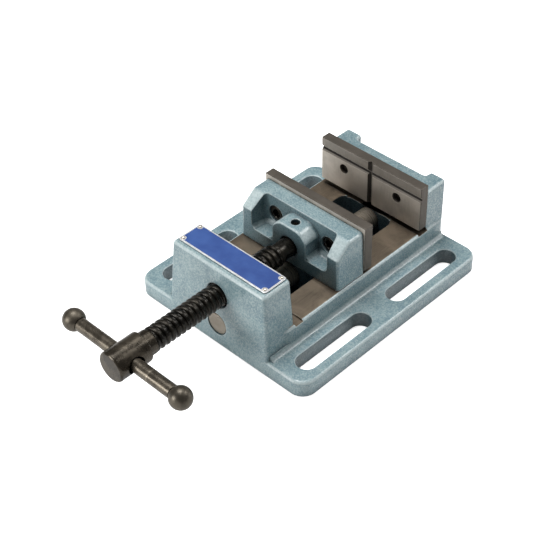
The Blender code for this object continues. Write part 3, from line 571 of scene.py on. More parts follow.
def ground_lines_group() -> bpy.types.NodeTree:
    """Fine lines that a grinding wheel or a lathe tool leaves, running one way.

    Returns:
        The group.
    """
    tree = group_tree("GroundLines", "ShaderNodeTree",
                      [("Across", VECTOR, (4000.0, 60.0, 60.0)), ("Cloud Scale", FLOAT, 60.0)],
                      [("Lines", FLOAT), ("Clouds", FLOAT)])
    s = Sketch(tree)
    given = s.add("NodeGroupInput").outputs
    where = s.add("ShaderNodeTexCoord").outputs["Object"]
    stretched = s.add("ShaderNodeVectorMath", operation="MULTIPLY")
    s.feed(stretched.inputs[0], where)
    s.feed(stretched.inputs[1], given["Across"])
    lines = s.noise(stretched.outputs["Vector"], 1.0, 4.0, 0.7)
    clouds = s.spread(s.noise(where, given["Cloud Scale"], 3.0, 0.55, 0.6), 0.30, 0.70)
    out = s.add("NodeGroupOutput")
    s.feed(out.inputs["Lines"], lines)
    s.feed(out.inputs["Clouds"], clouds)
    return tree


def hollow_shade_group() -> bpy.types.NodeTree:
    """Painted shade: dark colour that fills inner corners and recesses, in uneven patches.

    Returns:
        The group.
    """
    tree = group_tree("Grime", "ShaderNodeTree",
                      [("Reach", FLOAT, 0.004), ("Strength", FLOAT, 0.6)], [("Mask", FLOAT)])
    s = Sketch(tree)
    given = s.add("NodeGroupInput").outputs
    where = s.add("ShaderNodeTexCoord").outputs["Object"]
    # Painted shade: ambient occlusion within Reach darkens the colour where less light reaches.
    hollow = s.add("ShaderNodeAmbientOcclusion", samples=4)
    s.feed(hollow.inputs["Distance"], given["Reach"])
    closed = s.spread(hollow.outputs["AO"], 0.80, 0.35)
    patchy = s.spread(s.noise(where, 350.0, 4.0, 0.6), 0.25, 0.60, 0.55, 1.0)
    mask = s.sum("MULTIPLY", s.sum("MULTIPLY", closed, patchy), given["Strength"], clamp=True)
    s.feed(s.add("NodeGroupOutput").inputs["Mask"], mask)
    return tree


@dataclass(frozen=True)
class ShaderKit:
    """The shader groups that the finishes share."""

    wear_and_highlight: bpy.types.NodeTree
    cast_skin: bpy.types.NodeTree
    ground_lines: bpy.types.NodeTree
    hollow_shade: bpy.types.NodeTree

    @staticmethod
    def build() -> "ShaderKit":
        """Build each group once."""
        return ShaderKit(wear_and_highlight_group(), cast_skin_group(), ground_lines_group(), hollow_shade_group())


# ---------------------------------------------------------------- finishes


def start_material(name: str) -> tuple[bpy.types.Material, Sketch, bpy.types.Node]:
    """A new material with only its Principled shader.

    Args:
        name: the material's name.

    Returns:
        The material, a sketch on its tree, and the shader node.
    """
    material = bpy.data.materials.new(name)
    material.use_nodes = True
    sketch = Sketch(material.node_tree)
    return material, sketch, material.node_tree.nodes["Principled BSDF"]


def use_group(s: Sketch, tree: bpy.types.NodeTree, **values: object) -> bpy.types.bpy_prop_collection:
    """Place a shader group, with its inputs named by keywords such as breakup_scale.

    Args:
        s: the sketch of the material.
        tree: the group.
        values: each input's value.

    Returns:
        The group's outputs.
    """
    node = s.add("ShaderNodeGroup", node_tree=tree)
    for key, value in values.items():
        s.feed(node.inputs[key.replace("_", " ").title()], value)
    return node.outputs


def bump(s: Sketch, shader: bpy.types.Node, height: object, distance: float, strength: float,
         normal: object = None) -> None:
    """Feed a shader's normal from a height."""
    node = s.add("ShaderNodeBump")
    node.inputs["Distance"].default_value = distance
    node.inputs["Strength"].default_value = strength
    s.feed(node.inputs["Height"], height)
    if normal is not None:
        s.feed(node.inputs["Normal"], normal)
    s.feed(shader.inputs["Normal"], node.outputs["Normal"])


@dataclass(frozen=True)
class Enamel:
    """Blue-grey machine enamel over cast iron, rubbed bright along its edges, with painted highlights on its
    edges and upward-sloping faces and painted shade in its hollows.
    """

    name: str = "machine_enamel"
    tone: Colour = (0.212, 0.315, 0.342)
    shade: Colour = (0.105, 0.195, 0.232)
    pale: Colour = (0.430, 0.520, 0.525)
    # Worn edges and painted highlights take this colour.
    rubbed_and_highlight: Colour = (0.620, 0.700, 0.700)
    # Painted shade in hollows takes this colour.
    deep: Colour = (0.030, 0.058, 0.072)
    roughness: float = 0.36
    grain: float = 0.00022

    def make(self, kit: ShaderKit) -> bpy.types.Material:
        """Build the material."""
        material, s, shader = start_material(self.name)
        skin = use_group(s, kit.cast_skin, grain_scale=1300.0, swell_scale=120.0, swell=0.7)
        edges_worn_and_lit = use_group(s, kit.wear_and_highlight, radius=0.0014, low=0.015, high=0.17, breakup_scale=700.0,
                         breakup=0.40)
        hollow_shade = use_group(s, kit.hollow_shade, reach=0.011, strength=0.75)
        tone = s.blend(skin["Clouds"], self.shade, self.tone)
        tone = s.blend(s.sum("MULTIPLY", skin["Mottle"], 0.62), tone, self.pale)
        tone = s.blend(s.sum("MULTIPLY", skin["Specks"], 0.60), tone, self.shade)
        # Painted shade: hollows darken towards the deep colour.
        tone = s.blend(hollow_shade["Mask"], tone, self.deep)
        # Worn edges and painted highlights: edges, and faces that slope upwards, lighten towards the rubbed
        # colour.
        worn_and_highlit = s.sum("MAXIMUM", s.sum("MULTIPLY", edges_worn_and_lit["Rim"], 0.62), s.sum("MULTIPLY", edges_worn_and_lit["Mask"], 0.95))
        tone = s.blend(worn_and_highlit, tone, self.rubbed_and_highlight)
        s.feed(shader.inputs["Base Color"], tone)
        s.feed(shader.inputs["Roughness"], s.spread(skin["Mottle"], 0.0, 1.0, self.roughness + 0.10,
                                                    self.roughness - 0.06))
        shader.inputs["Coat Weight"].default_value = 0.55
        shader.inputs["Coat Roughness"].default_value = 0.12
        bump(s, shader, skin["Height"], self.grain, 0.55, edges_worn_and_lit["Normal"])
        return material


@dataclass(frozen=True)
class GroundSteel:
    """Bare steel with grinding lines, browned a little by oil, with painted shade in its hollows."""

    name: str
    light: Colour
    dark: Colour
    across: tuple[float, float, float]
    roughness: float = 0.36
    edge: Colour = (0.60, 0.56, 0.50)
    edge_radius: float = 0.0004
    metallic: float = 0.80
    # Painted shade: above this height the colour turns near black.
    painted_shade_above: float | None = None
    # How far the painted shade in hollows reaches.
    shelter: float = 0.003

    def make(self, kit: ShaderKit) -> bpy.types.Material:
        """Build the material."""
        material, s, shader = start_material(self.name)
        marks = use_group(s, kit.ground_lines, across=self.across, cloud_scale=70.0)
        edges_worn_and_lit = use_group(s, kit.wear_and_highlight, radius=self.edge_radius, low=0.03, high=0.25,
                         breakup_scale=900.0, breakup=0.35)
        # Painted shade: hollows within the shelter distance darken towards near black.
        hollow_shade = use_group(s, kit.hollow_shade, reach=self.shelter, strength=0.85)
        tone = s.blend(marks["Clouds"], self.dark, self.light)
        tone = s.blend(s.spread(marks["Lines"], 0.35, 0.70, 0.0, 0.5), tone, self.light)
        tone = s.blend(hollow_shade["Mask"], tone, (0.030, 0.026, 0.022))
        tone = s.blend(edges_worn_and_lit["Mask"], tone, self.edge)
        # Painted shade: near black above a height, such as the deep root of a groove.
        if self.painted_shade_above is not None:
            split = s.add("ShaderNodeSeparateXYZ")
            s.feed(split.inputs[0], s.add("ShaderNodeTexCoord").outputs["Object"])
            root = s.spread(split.outputs["Z"], self.painted_shade_above - 0.0002, self.painted_shade_above + 0.0002)
            tone = s.blend(root, tone, (0.020, 0.018, 0.015))
        s.feed(shader.inputs["Base Color"], tone)
        shader.inputs["Metallic"].default_value = self.metallic
        rough = s.spread(marks["Lines"], 0.30, 0.70, self.roughness + 0.07, self.roughness - 0.07)
        s.feed(shader.inputs["Roughness"], rough)
        bump(s, shader, marks["Lines"], 0.00003, 0.35, edges_worn_and_lit["Normal"])
        return material


@dataclass(frozen=True)
class BlackOxide:
    """Blackened steel with an oily brown sheen, rubbed lighter on its edges, with painted shade in its
    hollows.
    """

    name: str = "black_oxide"
    tone: Colour = (0.036, 0.030, 0.022)
    brown: Colour = (0.085, 0.071, 0.052)
    edge: Colour = (0.200, 0.175, 0.135)
    roughness: float = 0.22
    rub_x: float | None = None

    def make(self, kit: ShaderKit) -> bpy.types.Material:
        """Build the material."""
        material, s, shader = start_material(self.name)
        where = s.add("ShaderNodeTexCoord").outputs["Object"]
        cloud = s.spread(s.noise(where, 140.0, 4.0, 0.6, 0.5), 0.30, 0.70)
        speck = s.noise(where, 2200.0, 3.0, 0.6)
        edges_worn_and_lit = use_group(s, kit.wear_and_highlight, radius=0.0004, low=0.05, high=0.40, breakup_scale=900.0,
                         breakup=0.5)
        # Painted shade: thread roots and other hollows darken to near black.
        hollow_shade = use_group(s, kit.hollow_shade, reach=0.0022, strength=0.9)
        tone = s.blend(cloud, self.tone, self.brown)
        tone = s.blend(edges_worn_and_lit["Mask"], tone, self.edge)
        tone = s.blend(hollow_shade["Mask"], tone, (0.004, 0.004, 0.003))
        if self.rub_x is not None:
            x = s.add("ShaderNodeSeparateXYZ")
            s.feed(x.inputs[0], where)
            wavy = s.sum("ADD", x.outputs["X"], s.sum("MULTIPLY", s.noise(where, 90.0), 0.0010))
            off = s.sum("ABSOLUTE", s.sum("SUBTRACT", wavy, self.rub_x + 0.0005))
            ring = s.spread(off, 0.00055, 0.00015)
            tone = s.blend(s.sum("MULTIPLY", ring, 0.65), tone, (0.26, 0.23, 0.18))
        s.feed(shader.inputs["Base Color"], tone)
        shader.inputs["Metallic"].default_value = 0.65
        rough = s.spread(cloud, 0.0, 1.0, self.roughness, self.roughness + 0.12)
        s.feed(shader.inputs["Roughness"], rough)
        bump(s, shader, speck, 0.00002, 0.25, edges_worn_and_lit["Normal"])
        return material


@dataclass(frozen=True)
class PlateEnamel:
    """The blue printed field of the name plate, left blank."""

    name: str = "plate_blue_enamel"
    tone: Colour = (0.045, 0.105, 0.330)
    deep: Colour = (0.028, 0.070, 0.260)

    def make(self) -> bpy.types.Material:
        """Build the material."""
        material, s, shader = start_material(self.name)
        where = s.add("ShaderNodeTexCoord").outputs["Object"]
        cloud = s.spread(s.noise(where, 90.0, 3.0, 0.5), 0.30, 0.70)
        fleck = s.noise(where, 1800.0, 2.0, 0.5)
        s.feed(shader.inputs["Base Color"], s.blend(cloud, self.deep, self.tone))
        s.feed(shader.inputs["Roughness"], s.spread(fleck, 0.30, 0.70, 0.28, 0.40))
        shader.inputs["Coat Weight"].default_value = 0.25
        bump(s, shader, fleck, 0.00001, 0.3)
        return material


@dataclass(frozen=True)
class SoftMetal:
    """Bright, slightly brushed aluminium, for the name plate and its pins."""

    name: str = "plate_aluminium"
    tone: Colour = (0.80, 0.81, 0.82)
    roughness: float = 0.38
    metallic: float = 0.55

    def make(self, kit: ShaderKit) -> bpy.types.Material:
        """Build the material."""
        material, s, shader = start_material(self.name)
        marks = use_group(s, kit.ground_lines, across=(300.0, 5000.0, 300.0), cloud_scale=160.0)
        dull = tuple(0.82 * value for value in self.tone)
        s.feed(shader.inputs["Base Color"], s.blend(marks["Clouds"], dull, self.tone))
        shader.inputs["Metallic"].default_value = self.metallic
        s.feed(shader.inputs["Roughness"], s.spread(marks["Lines"], 0.30, 0.70, self.roughness + 0.08,
                                                    self.roughness - 0.06))
        bump(s, shader, marks["Lines"], 0.00002, 0.3)
        return material


class Finishes:
    """Every finish of the vise, made once."""

    def __init__(self) -> None:
        """Build the groups and the materials."""
        kit = ShaderKit.build()
        self.enamel = Enamel().make(kit)
        # Painted shade: darker, glossier enamel for the jaw's pocket and low front.
        self.enamel_pocket_shaded = Enamel("machine_enamel_pocket", (0.110, 0.180, 0.205), (0.060, 0.110, 0.135),
                                    (0.190, 0.270, 0.290), (0.520, 0.620, 0.630),
                                    (0.010, 0.018, 0.022), 0.28).make(kit)
        # Painted shade: darker enamel for the walls of the flange's slots.
        self.enamel_slot_shaded = Enamel("machine_enamel_slot", (0.120, 0.185, 0.208), (0.070, 0.125, 0.150),
                                  (0.220, 0.285, 0.300), (0.520, 0.620, 0.630),
                                  (0.020, 0.034, 0.040), 0.36).make(kit)
        # Painted shade: near-black enamel for the channel and the jaw's lug.
        self.enamel_painted_shade = Enamel("machine_enamel_deep", (0.045, 0.080, 0.098), (0.022, 0.042, 0.054),
                                  (0.080, 0.120, 0.138), (0.420, 0.500, 0.510),
                                  (0.006, 0.010, 0.012), 0.30).make(kit)
        self.bed = GroundSteel("ground_bed", (0.258, 0.207, 0.153), (0.130, 0.106, 0.079),
                               (2600.0, 45.0, 45.0), 0.42, (0.62, 0.60, 0.55), 0.0004).make(kit)
        self.jaw_face = GroundSteel("ground_jaw_face", (0.520, 0.474, 0.418), (0.380, 0.345, 0.302),
                                    (2400.0, 60.0, 90.0), 0.52, metallic=0.35,
                                    edge=(0.40, 0.37, 0.33)).make(kit)
        self.jaw_edge = GroundSteel("ground_jaw_edge", (0.118, 0.103, 0.086), (0.084, 0.073, 0.060),
                                    (60.0, 2200.0, 90.0), 0.50, metallic=0.55,
                                    edge=(0.30, 0.27, 0.23)).make(kit)
        # Painted shade: faces towards -Y above the level groove take a darker copy of the face's steel.
        self.jaw_land_shaded = GroundSteel("ground_jaw_land", (0.270, 0.247, 0.218), (0.205, 0.187, 0.163),
                                    (2400.0, 60.0, 90.0), 0.52, metallic=0.55,
                                    edge=(0.40, 0.37, 0.33)).make(kit)
        # Painted shade: the groove's lower face darkens above its root height.
        self.groove_lip = GroundSteel("groove_lip", (0.230, 0.210, 0.185), (0.180, 0.162, 0.140),
                                      (60.0, 2200.0, 90.0), 0.55, metallic=0.55, edge=(0.30, 0.27, 0.24),
                                      painted_shade_above=0.0470).make(kit)
        # Painted shade: near-black steel on the V-grooves' upright faces and on the level groove's downward
        # face.
        self.groove = GroundSteel("dark_groove", (0.045, 0.040, 0.034), (0.026, 0.023, 0.019),
                                  (60.0, 60.0, 900.0), 0.50, metallic=0.4, edge=(0.12, 0.10, 0.09)).make(kit)
        # Painted shade: the rod darkens in hollows within 6 mm, as in the channel.
        self.rod = GroundSteel("ground_rod", (0.335, 0.295, 0.240), (0.228, 0.196, 0.156),
                               (90.0, 2600.0, 90.0), 0.30, metallic=0.55, shelter=0.006).make(kit)
        self.black = BlackOxide("black_oxide", (0.012, 0.011, 0.009), (0.032, 0.027, 0.020),
                                (0.150, 0.130, 0.100), 0.24).make(kit)
        self.brown = BlackOxide("brown_oxide").make(kit)
        self.brown_bar = BlackOxide("brown_oxide_bar", (0.070, 0.060, 0.046), (0.138, 0.119, 0.092),
                                    rub_x=0.0198).make(kit)
        self.brown_ball = BlackOxide("brown_oxide_ball", (0.064, 0.055, 0.042), (0.125, 0.108, 0.083),
                                     roughness=0.36).make(kit)
        self.blue = PlateEnamel().make()
        self.plate = SoftMetal().make(kit)
        self.pin = SoftMetal("pin_metal", (0.76, 0.69, 0.60), 0.30, 0.75).make(kit)


# ---------------------------------------------------------------- geometry node rules


@dataclass(frozen=True)
class ThreadRule:
    """A right-hand trapezoidal thread, wound by rule on a cylinder of points."""

    lead: float = 0.0037
    crest_r: float = 0.0070
    root_r: float = 0.0056
    crest_phase: float = 0.003475
    rows_per_lead: int = 16
    segments: int = 96

    def tree(self) -> bpy.types.NodeTree:
        """Build the rule, with its sizes as named inputs."""
        tree = group_tree("ThreadRule", "GeometryNodeTree",
                          [("Start", FLOAT, 0.0), ("End", FLOAT, 0.1), ("Height", FLOAT, 0.0),
                           ("Lead", FLOAT, self.lead), ("Crest Radius", FLOAT, self.crest_r),
                           ("Root Radius", FLOAT, self.root_r), ("Crest Phase", FLOAT, 0.0),
                           ("Rows", WHOLE, 100), ("Rows Per Lead", WHOLE, self.rows_per_lead),
                           ("Segments", WHOLE, self.segments), ("Metal", "NodeSocketMaterial", None)],
                          [("Geometry", GEOMETRY)])
        s = Sketch(tree)
        given = s.add("NodeGroupInput").outputs
        grid = s.add("GeometryNodeMeshGrid")
        s.feed(grid.inputs["Size X"], 1.0)
        s.feed(grid.inputs["Size Y"], 1.0)
        s.feed(grid.inputs["Vertices X"], s.sum("ADD", given["Rows"], 1.0))
        s.feed(grid.inputs["Vertices Y"], s.sum("ADD", given["Segments"], 1.0))
        split = s.add("ShaderNodeSeparateXYZ")
        s.feed(split.inputs[0], s.add("GeometryNodeInputPosition").outputs[0])
        along = s.sum("ADD", split.outputs["X"], 0.5)
        around = s.sum("ADD", split.outputs["Y"], 0.5)
        lead = given["Lead"]
        total = s.sum("MULTIPLY", s.sum("DIVIDE", given["Rows"], given["Rows Per Lead"]), lead)
        first = s.sum("SUBTRACT", given["Start"], s.sum("MULTIPLY", lead, 2.0))
        row_y = s.sum("ADD", first, s.sum("MULTIPLY", along, total))
        raw_y = s.sum("ADD", row_y, s.sum("MULTIPLY", around, lead))
        phase = s.sum("FRACT", s.sum("DIVIDE", s.sum("SUBTRACT", row_y, given["Crest Phase"]), lead))
        nearest = s.sum("MINIMUM", phase, s.sum("SUBTRACT", 1.0, phase))
        ridge = s.spread(nearest, 0.36, 0.16)
        tall = s.sum("SUBTRACT", given["Crest Radius"], given["Root Radius"])
        wound = s.sum("ADD", given["Root Radius"], s.sum("MULTIPLY", ridge, tall))
        y = s.sum("MINIMUM", s.sum("MAXIMUM", raw_y, given["Start"]), given["End"])
        before = s.sum("SUBTRACT", given["Start"], raw_y)
        beyond = s.sum("SUBTRACT", raw_y, given["End"])
        over = s.sum("MAXIMUM", s.sum("MAXIMUM", before, beyond), 0.0)
        inside = s.sum("MAXIMUM", s.sum("MULTIPLY", s.sum("MAXIMUM", before, beyond), -1.0), 0.0)
        eased_end = s.sum("MINIMUM", wound, s.sum("ADD", given["Root Radius"], inside))
        closing = s.sum("SUBTRACT", 1.0, s.sum("DIVIDE", over, lead), clamp=True)
        radius = s.sum("MULTIPLY", eased_end, closing)
        angle = s.sum("MULTIPLY", around, math.tau)
        join_up = s.add("ShaderNodeCombineXYZ")
        s.feed(join_up.inputs["X"], s.sum("MULTIPLY", radius, s.sum("SINE", angle)))
        s.feed(join_up.inputs["Y"], y)
        s.feed(join_up.inputs["Z"], s.sum("ADD", given["Height"],
                                          s.sum("MULTIPLY", radius, s.sum("COSINE", angle))))
        move = s.add("GeometryNodeSetPosition")
        s.feed(move.inputs["Geometry"], grid.outputs["Mesh"])
        s.feed(move.inputs["Position"], join_up.outputs["Vector"])
        merge = s.add("GeometryNodeMergeByDistance")
        s.feed(merge.inputs["Geometry"], move.outputs["Geometry"])
        merge.inputs["Distance"].default_value = 0.000004
        flip = s.add("GeometryNodeFlipFaces")
        s.feed(flip.inputs["Mesh"], merge.outputs["Geometry"])
        end_tree(s, flip.outputs["Mesh"], given["Metal"])
        return tree


def end_tree(s: Sketch, geometry: bpy.types.NodeSocket, material: bpy.types.NodeSocket) -> None:
    """Finish a geometry tree: realize its instances and set its material."""
    real = s.add("GeometryNodeRealizeInstances")
    s.feed(real.inputs["Geometry"], geometry)
    paint = s.add("GeometryNodeSetMaterial")
    s.feed(paint.inputs["Geometry"], real.outputs["Geometry"])
    s.feed(paint.inputs["Material"], material)
    s.feed(s.add("NodeGroupOutput").inputs["Geometry"], paint.outputs["Geometry"])


def ranks_tree() -> bpy.types.NodeTree:
    """A rule that repeats one piece in level ranks and files.

    Returns:
        The tree, with its spacings and counts as named inputs.
    """
    tree = group_tree("RanksOfPieces", "GeometryNodeTree",
                      [("Piece", "NodeSocketObject", None), ("Middle", VECTOR, (0.0, 0.0, 0.0)),
                       ("Spacing X", FLOAT, 0.04), ("Spacing Y", FLOAT, 0.01), ("Count X", WHOLE, 2),
                       ("Count Y", WHOLE, 1), ("Metal", "NodeSocketMaterial", None)],
                      [("Geometry", GEOMETRY)])
    s = Sketch(tree)
    given = s.add("NodeGroupInput").outputs
    lines = []
    for axis in ("X", "Y"):
        line = s.add("GeometryNodeMeshLine", mode="OFFSET")
        s.feed(line.inputs["Count"], given["Count " + axis])
        gaps = s.sum("SUBTRACT", given["Count " + axis], 1.0)
        half = s.sum("MULTIPLY", s.sum("MULTIPLY", gaps, given["Spacing " + axis]), -0.5)
        for name, value in (("Start Location", half), ("Offset", given["Spacing " + axis])):
            vector = s.add("ShaderNodeCombineXYZ")
            s.feed(vector.inputs[axis], value)
            s.feed(line.inputs[name], vector.outputs["Vector"])
        lines.append(line.outputs["Mesh"])
    files = s.add("GeometryNodeInstanceOnPoints")
    s.feed(files.inputs["Points"], lines[1])
    s.feed(files.inputs["Instance"], lines[0])
    spots = s.add("GeometryNodeRealizeInstances")
    s.feed(spots.inputs["Geometry"], files.outputs["Instances"])
    source = s.add("GeometryNodeObjectInfo")
    s.feed(source.inputs["Object"], given["Piece"])
    pieces = s.add("GeometryNodeInstanceOnPoints")
    s.feed(pieces.inputs["Points"], spots.outputs["Geometry"])
    s.feed(pieces.inputs["Instance"], source.outputs["Geometry"])
    shift = s.add("GeometryNodeTransform")
    s.feed(shift.inputs["Geometry"], pieces.outputs["Instances"])
    s.feed(shift.inputs["Translation"], given["Middle"])
    end_tree(s, shift.outputs["Geometry"], given["Metal"])
    return tree


def grow(name: str, tree: bpy.types.NodeTree, values: dict[str, object]) -> bpy.types.Object:
    """Run a geometry tree on an empty mesh, and keep the result as a plain mesh.

    Args:
        name: the new piece's name.
        tree: the rule.
        values: each input's value by its name.

    Returns:
        The piece.
    """
    obj = new_object(name, bpy.data.meshes.new(name))
    modifier = obj.modifiers.new("rule", "NODES")
    modifier.node_group = tree
    for item in tree.interface.items_tree:
        if item.in_out == "INPUT" and item.name in values:
            modifier[item.identifier] = values[item.name]
    return settle(obj)


# ---------------------------------------------------------------- sub-assemblies


@dataclass
class BaseCasting:
    """The painted base: flange, bed, front block and fixed wall."""

    flange: float = 0.0104
    flange_corner: float = 0.0090
    flange_edge: float = 0.0021
    slot: Point2 = (0.0122, 0.0560)
    slot_at: Point2 = (0.0526, 0.0370)
    body_half: float = 0.0389
    bed: float = 0.0231
    bed_edge: float = 0.0020
    bed_back: float = 0.0735
    bed_under_block: float = 0.0140
    foot_fillet: float = 0.0030
    fillet_end: float = 0.0722
    channel_half: float = 0.0193
    channel_floor: float = 0.0035
    channel_corner: float = 0.0060
    channel_back: float = 0.0517
    block_foot: float = 0.0012
    block_top: float = 0.0531
    block_half_top: float = 0.0350
    block_front: float = -0.0754
    block_back: float = -0.0519
    block_top_length: float = 0.0205
    block_edge: float = 0.0022
    wall_front: float = 0.05805
    wall_back: float = 0.06965
    wall_half: float = 0.0377
    wall_top: float = 0.0502
    wall_edge: float = 0.0022
    rib_width: float = 0.0113
    rib_back: float = 0.0747
    screw_z: float = 0.0349
    rod_z: float = 0.0147
    rod_bore_r: float = 0.0072
    plate_screws: Point2 = (0.0203, 0.0406)
    clearance_r: float = 0.00285
    counterbore_r: float = 0.0054

    def up_the_block(self, height: float) -> float:
        """How far up the block a height is, from 0 at its foot to 1 at its top."""
        return (height - self.block_foot) / (self.block_top - self.block_foot)

    def front_face(self, height: float) -> float:
        """Where the block's drafted front face is at a height."""
        share = self.up_the_block(height)
        return self.block_front + (self.block_back - self.block_top_length - self.block_front) * share

    def make_flange(self) -> bpy.types.Object:
        """The flange, with its slots cut and their rims eased."""
        low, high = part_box("base_casting")
        flange = block("base_casting_body", (low.x, -high.y, 0.0), (high.x, high.y, self.flange),
                       self.flange_corner, 0.0006, self.flange_edge, steps=10)
        half_w, half_l = self.slot[0] / 2, self.slot[1] / 2
        slots = []
        for x in (-self.slot_at[0], self.slot_at[0]):
            for y in (-self.slot_at[1], self.slot_at[1]):
                rim = [(-0.001, -0.0005), (0.0005, 0.0), *eased(0.0006, self.flange, 0.0, -0.0009),
                       (self.flange + 0.001, -0.0009)]
                slots.append(slab("slot", oblong((x - half_w, y - half_l), (x + half_w, y + half_l)),
                                  [half_w - 0.00002] * 4, rim, steps=12))
        return cut(flange, slots)

    def make_front_block(self) -> bpy.types.Object:
        """The drafted block, rounded on its corners and round its top."""
        bm = bmesh.new()
        loops = []
        for height, amount in eased(self.block_foot, self.block_top, 0.0, self.block_edge, 6):
            half = self.body_half + (self.block_half_top - self.body_half) * self.up_the_block(height)
            corners = oblong((-half, self.front_face(height)), (half, self.block_back))
            outline = rounded_outline(corners, [self.block_edge] * 4, amount, 6)
            loops.append([bm.verts.new((x, y, height)) for x, y in outline])
        skin_loops(bm, loops)
        return from_bmesh("front_block", bm)

    def make_wall(self) -> bpy.types.Object:
        """The fixed jaw's wall with its two rear ribs."""
        half, inner = self.wall_half, self.wall_half - self.rib_width
        lead = self.wall_edge + 0.001
        corners = [(-half, self.wall_front - lead), (half, self.wall_front - lead), (half, self.rib_back),
                   (inner, self.rib_back), (inner, self.wall_back), (-inner, self.wall_back),
                   (-inner, self.rib_back), (-half, self.rib_back)]
        radii = [0.0005, 0.0005, 0.0024, 0.0020, 0.0022, 0.0022, 0.0020, 0.0024]
        levels = eased(self.flange / 2, self.wall_top, 0.0, self.wall_edge, 5)
        wall = slab("fixed_wall", corners, radii, levels)
        front = block("wall_face", (-0.06, self.wall_front - 0.02, 0.0), (0.06, self.wall_front, 0.08))
        return cut(wall, [front])

    def make_bed(self) -> bpy.types.Object:
        """The raised bed with painted, rounded shoulders."""
        start = self.block_back - self.bed_under_block
        corners = oblong((-self.body_half, start), (self.body_half, self.bed_back))
        return slab("bed_body", corners, [0.010, 0.010, 0.004, 0.004],
                    eased(self.flange / 2, self.bed, 0.0, self.bed_edge, 5), steps=8)

    def make_foot_fillets(self) -> list[bpy.types.Object]:
        """The cast fillets along the foot of the bed, on both sides."""
        radius = self.foot_fillet
        inner, low = self.body_half - 0.0006, self.flange - 0.0004
        arc = hollow_arc(self.body_half, self.flange, radius)
        outline = [(inner, low), (self.body_half + radius, low), *arc, (inner, self.flange + radius)]
        fillets = []
        for side in (-1, 1):
            bm = bmesh.new()
            ends = [[bm.verts.new((side * x, y, z)) for x, z in outline]
                    for y in (-self.fillet_end, self.fillet_end)]
            skin_loops(bm, ends)
            bmesh.ops.remove_doubles(bm, verts=bm.verts, dist=SAME_POINT)
            fillets.append(from_bmesh("foot_fillet", bm))
        return fillets

    def cutters(self) -> list[bpy.types.Object]:
        """Channel, cross reliefs, bores and counterbores."""
        half = self.channel_half
        levels = [(self.channel_floor, 0.0008), (self.channel_floor + 0.0003, 0.0003),
                  (self.channel_floor + 0.0008, 0.0), (self.bed - 0.0003, 0.0), (self.bed, -0.0003),
                  (self.bed + 0.0003, -0.0006)]
        channel = slab("channel", oblong((-half, self.block_back - 0.0003), (half, self.channel_back)),
                       [self.channel_corner] * 4, levels, steps=8)
        front_relief = block("front_relief", (-0.08, self.block_back - 0.0006, self.bed - 0.0012),
                             (0.08, self.block_back + 0.0053, self.bed + 0.0008))
        rear_relief = block("rear_relief", (-0.08, 0.0508, self.bed - 0.0012),
                            (0.08, self.wall_front + 0.0006, self.bed + 0.0008))
        y = self.front_face(self.screw_z)
        nut = lathe("nut_bore", [(0, 0), (0.0093, 0), (0.0073, 0.0030), (0.0073, 0.0237), (0.0093, 0.0267),
                                 (0, 0.0267)], (0, y - 0.0020, self.screw_z), ALONG_Y, 64)
        rod_y = self.front_face(self.rod_z)
        bore = rod("rod_bore", self.rod_bore_r, (0, rod_y - 0.01, self.rod_z), ALONG_Y, 0.1505, 64)
        made = [channel, front_relief, rear_relief, nut, bore]
        for x in (-self.plate_screws[0], self.plate_screws[0]):
            made.append(rod("clearance", self.clearance_r, (x, self.wall_front - 0.001, self.plate_screws[1]),
                            ALONG_Y, 0.02, 32))
            made.append(rod("counterbore", self.counterbore_r,
                            (x, self.wall_back - 0.0056, self.plate_screws[1]), ALONG_Y, 0.03, 48))
        made.append(rod("set_screw_hole", 0.00275, (0, (self.block_front + self.block_back) / 2, -0.005),
                        (0, 0, 1), self.rod_z + 0.005, 32))
        return made

    def is_ground(self, centre: Vector, normal: Vector) -> bool:
        """Whether a face is bare ground metal: the bed's flats, its reliefs and the channel's rim."""
        on_bed = (normal.z > 0.98 and self.bed - 0.0016 < centre.z < self.bed + 0.0002
                  and centre.y < self.wall_front + 0.001)
        relief = (self.bed - 0.0013 < centre.z < self.bed and abs(normal.y) > 0.9
                  and centre.y > self.block_back)
        rim = (self.bed - 0.0004 < centre.z < self.bed + 0.0001
               and abs(centre.x) < self.channel_half + 0.001 and centre.y < 0.05)
        return on_bed or relief or rim

    def pick(self, face: bpy.types.MeshPolygon) -> int:
        """Give a face its finish: 1 ground, 2 the channel in darker enamel as painted shade, 3 a slot's wall
        in darker enamel as painted shade, or 0 open enamel.
        """
        centre = face.center
        if self.is_ground(centre, face.normal):
            return 1
        in_slot = (abs(abs(centre.x) - self.slot_at[0]) < self.slot[0] / 2 + 0.0002
                   and abs(abs(centre.y) - self.slot_at[1]) < self.slot[1] / 2 + 0.0002)
        if in_slot and abs(face.normal.z) < 0.3:
            return 3
        inside = (abs(centre.x) < self.channel_half + 0.0004
                  and self.block_back - 0.001 < centre.y < self.channel_back + 0.0008)
        return 2 if inside and 0.001 < centre.z < self.bed - 0.0002 else 0

    def build(self, finishes: Finishes) -> None:
        """Build, dress and place the casting."""
        body = join(self.make_flange(), [self.make_bed(), self.make_front_block(), self.make_wall(),
                                         *self.make_foot_fillets()])
        body = smooth(cut(body, self.cutters()))
        dress(body, [finishes.enamel, finishes.bed, finishes.enamel_painted_shade, finishes.enamel_slot_shaded], self.pick)
        place(body, Body.BASE, ["base_casting"])


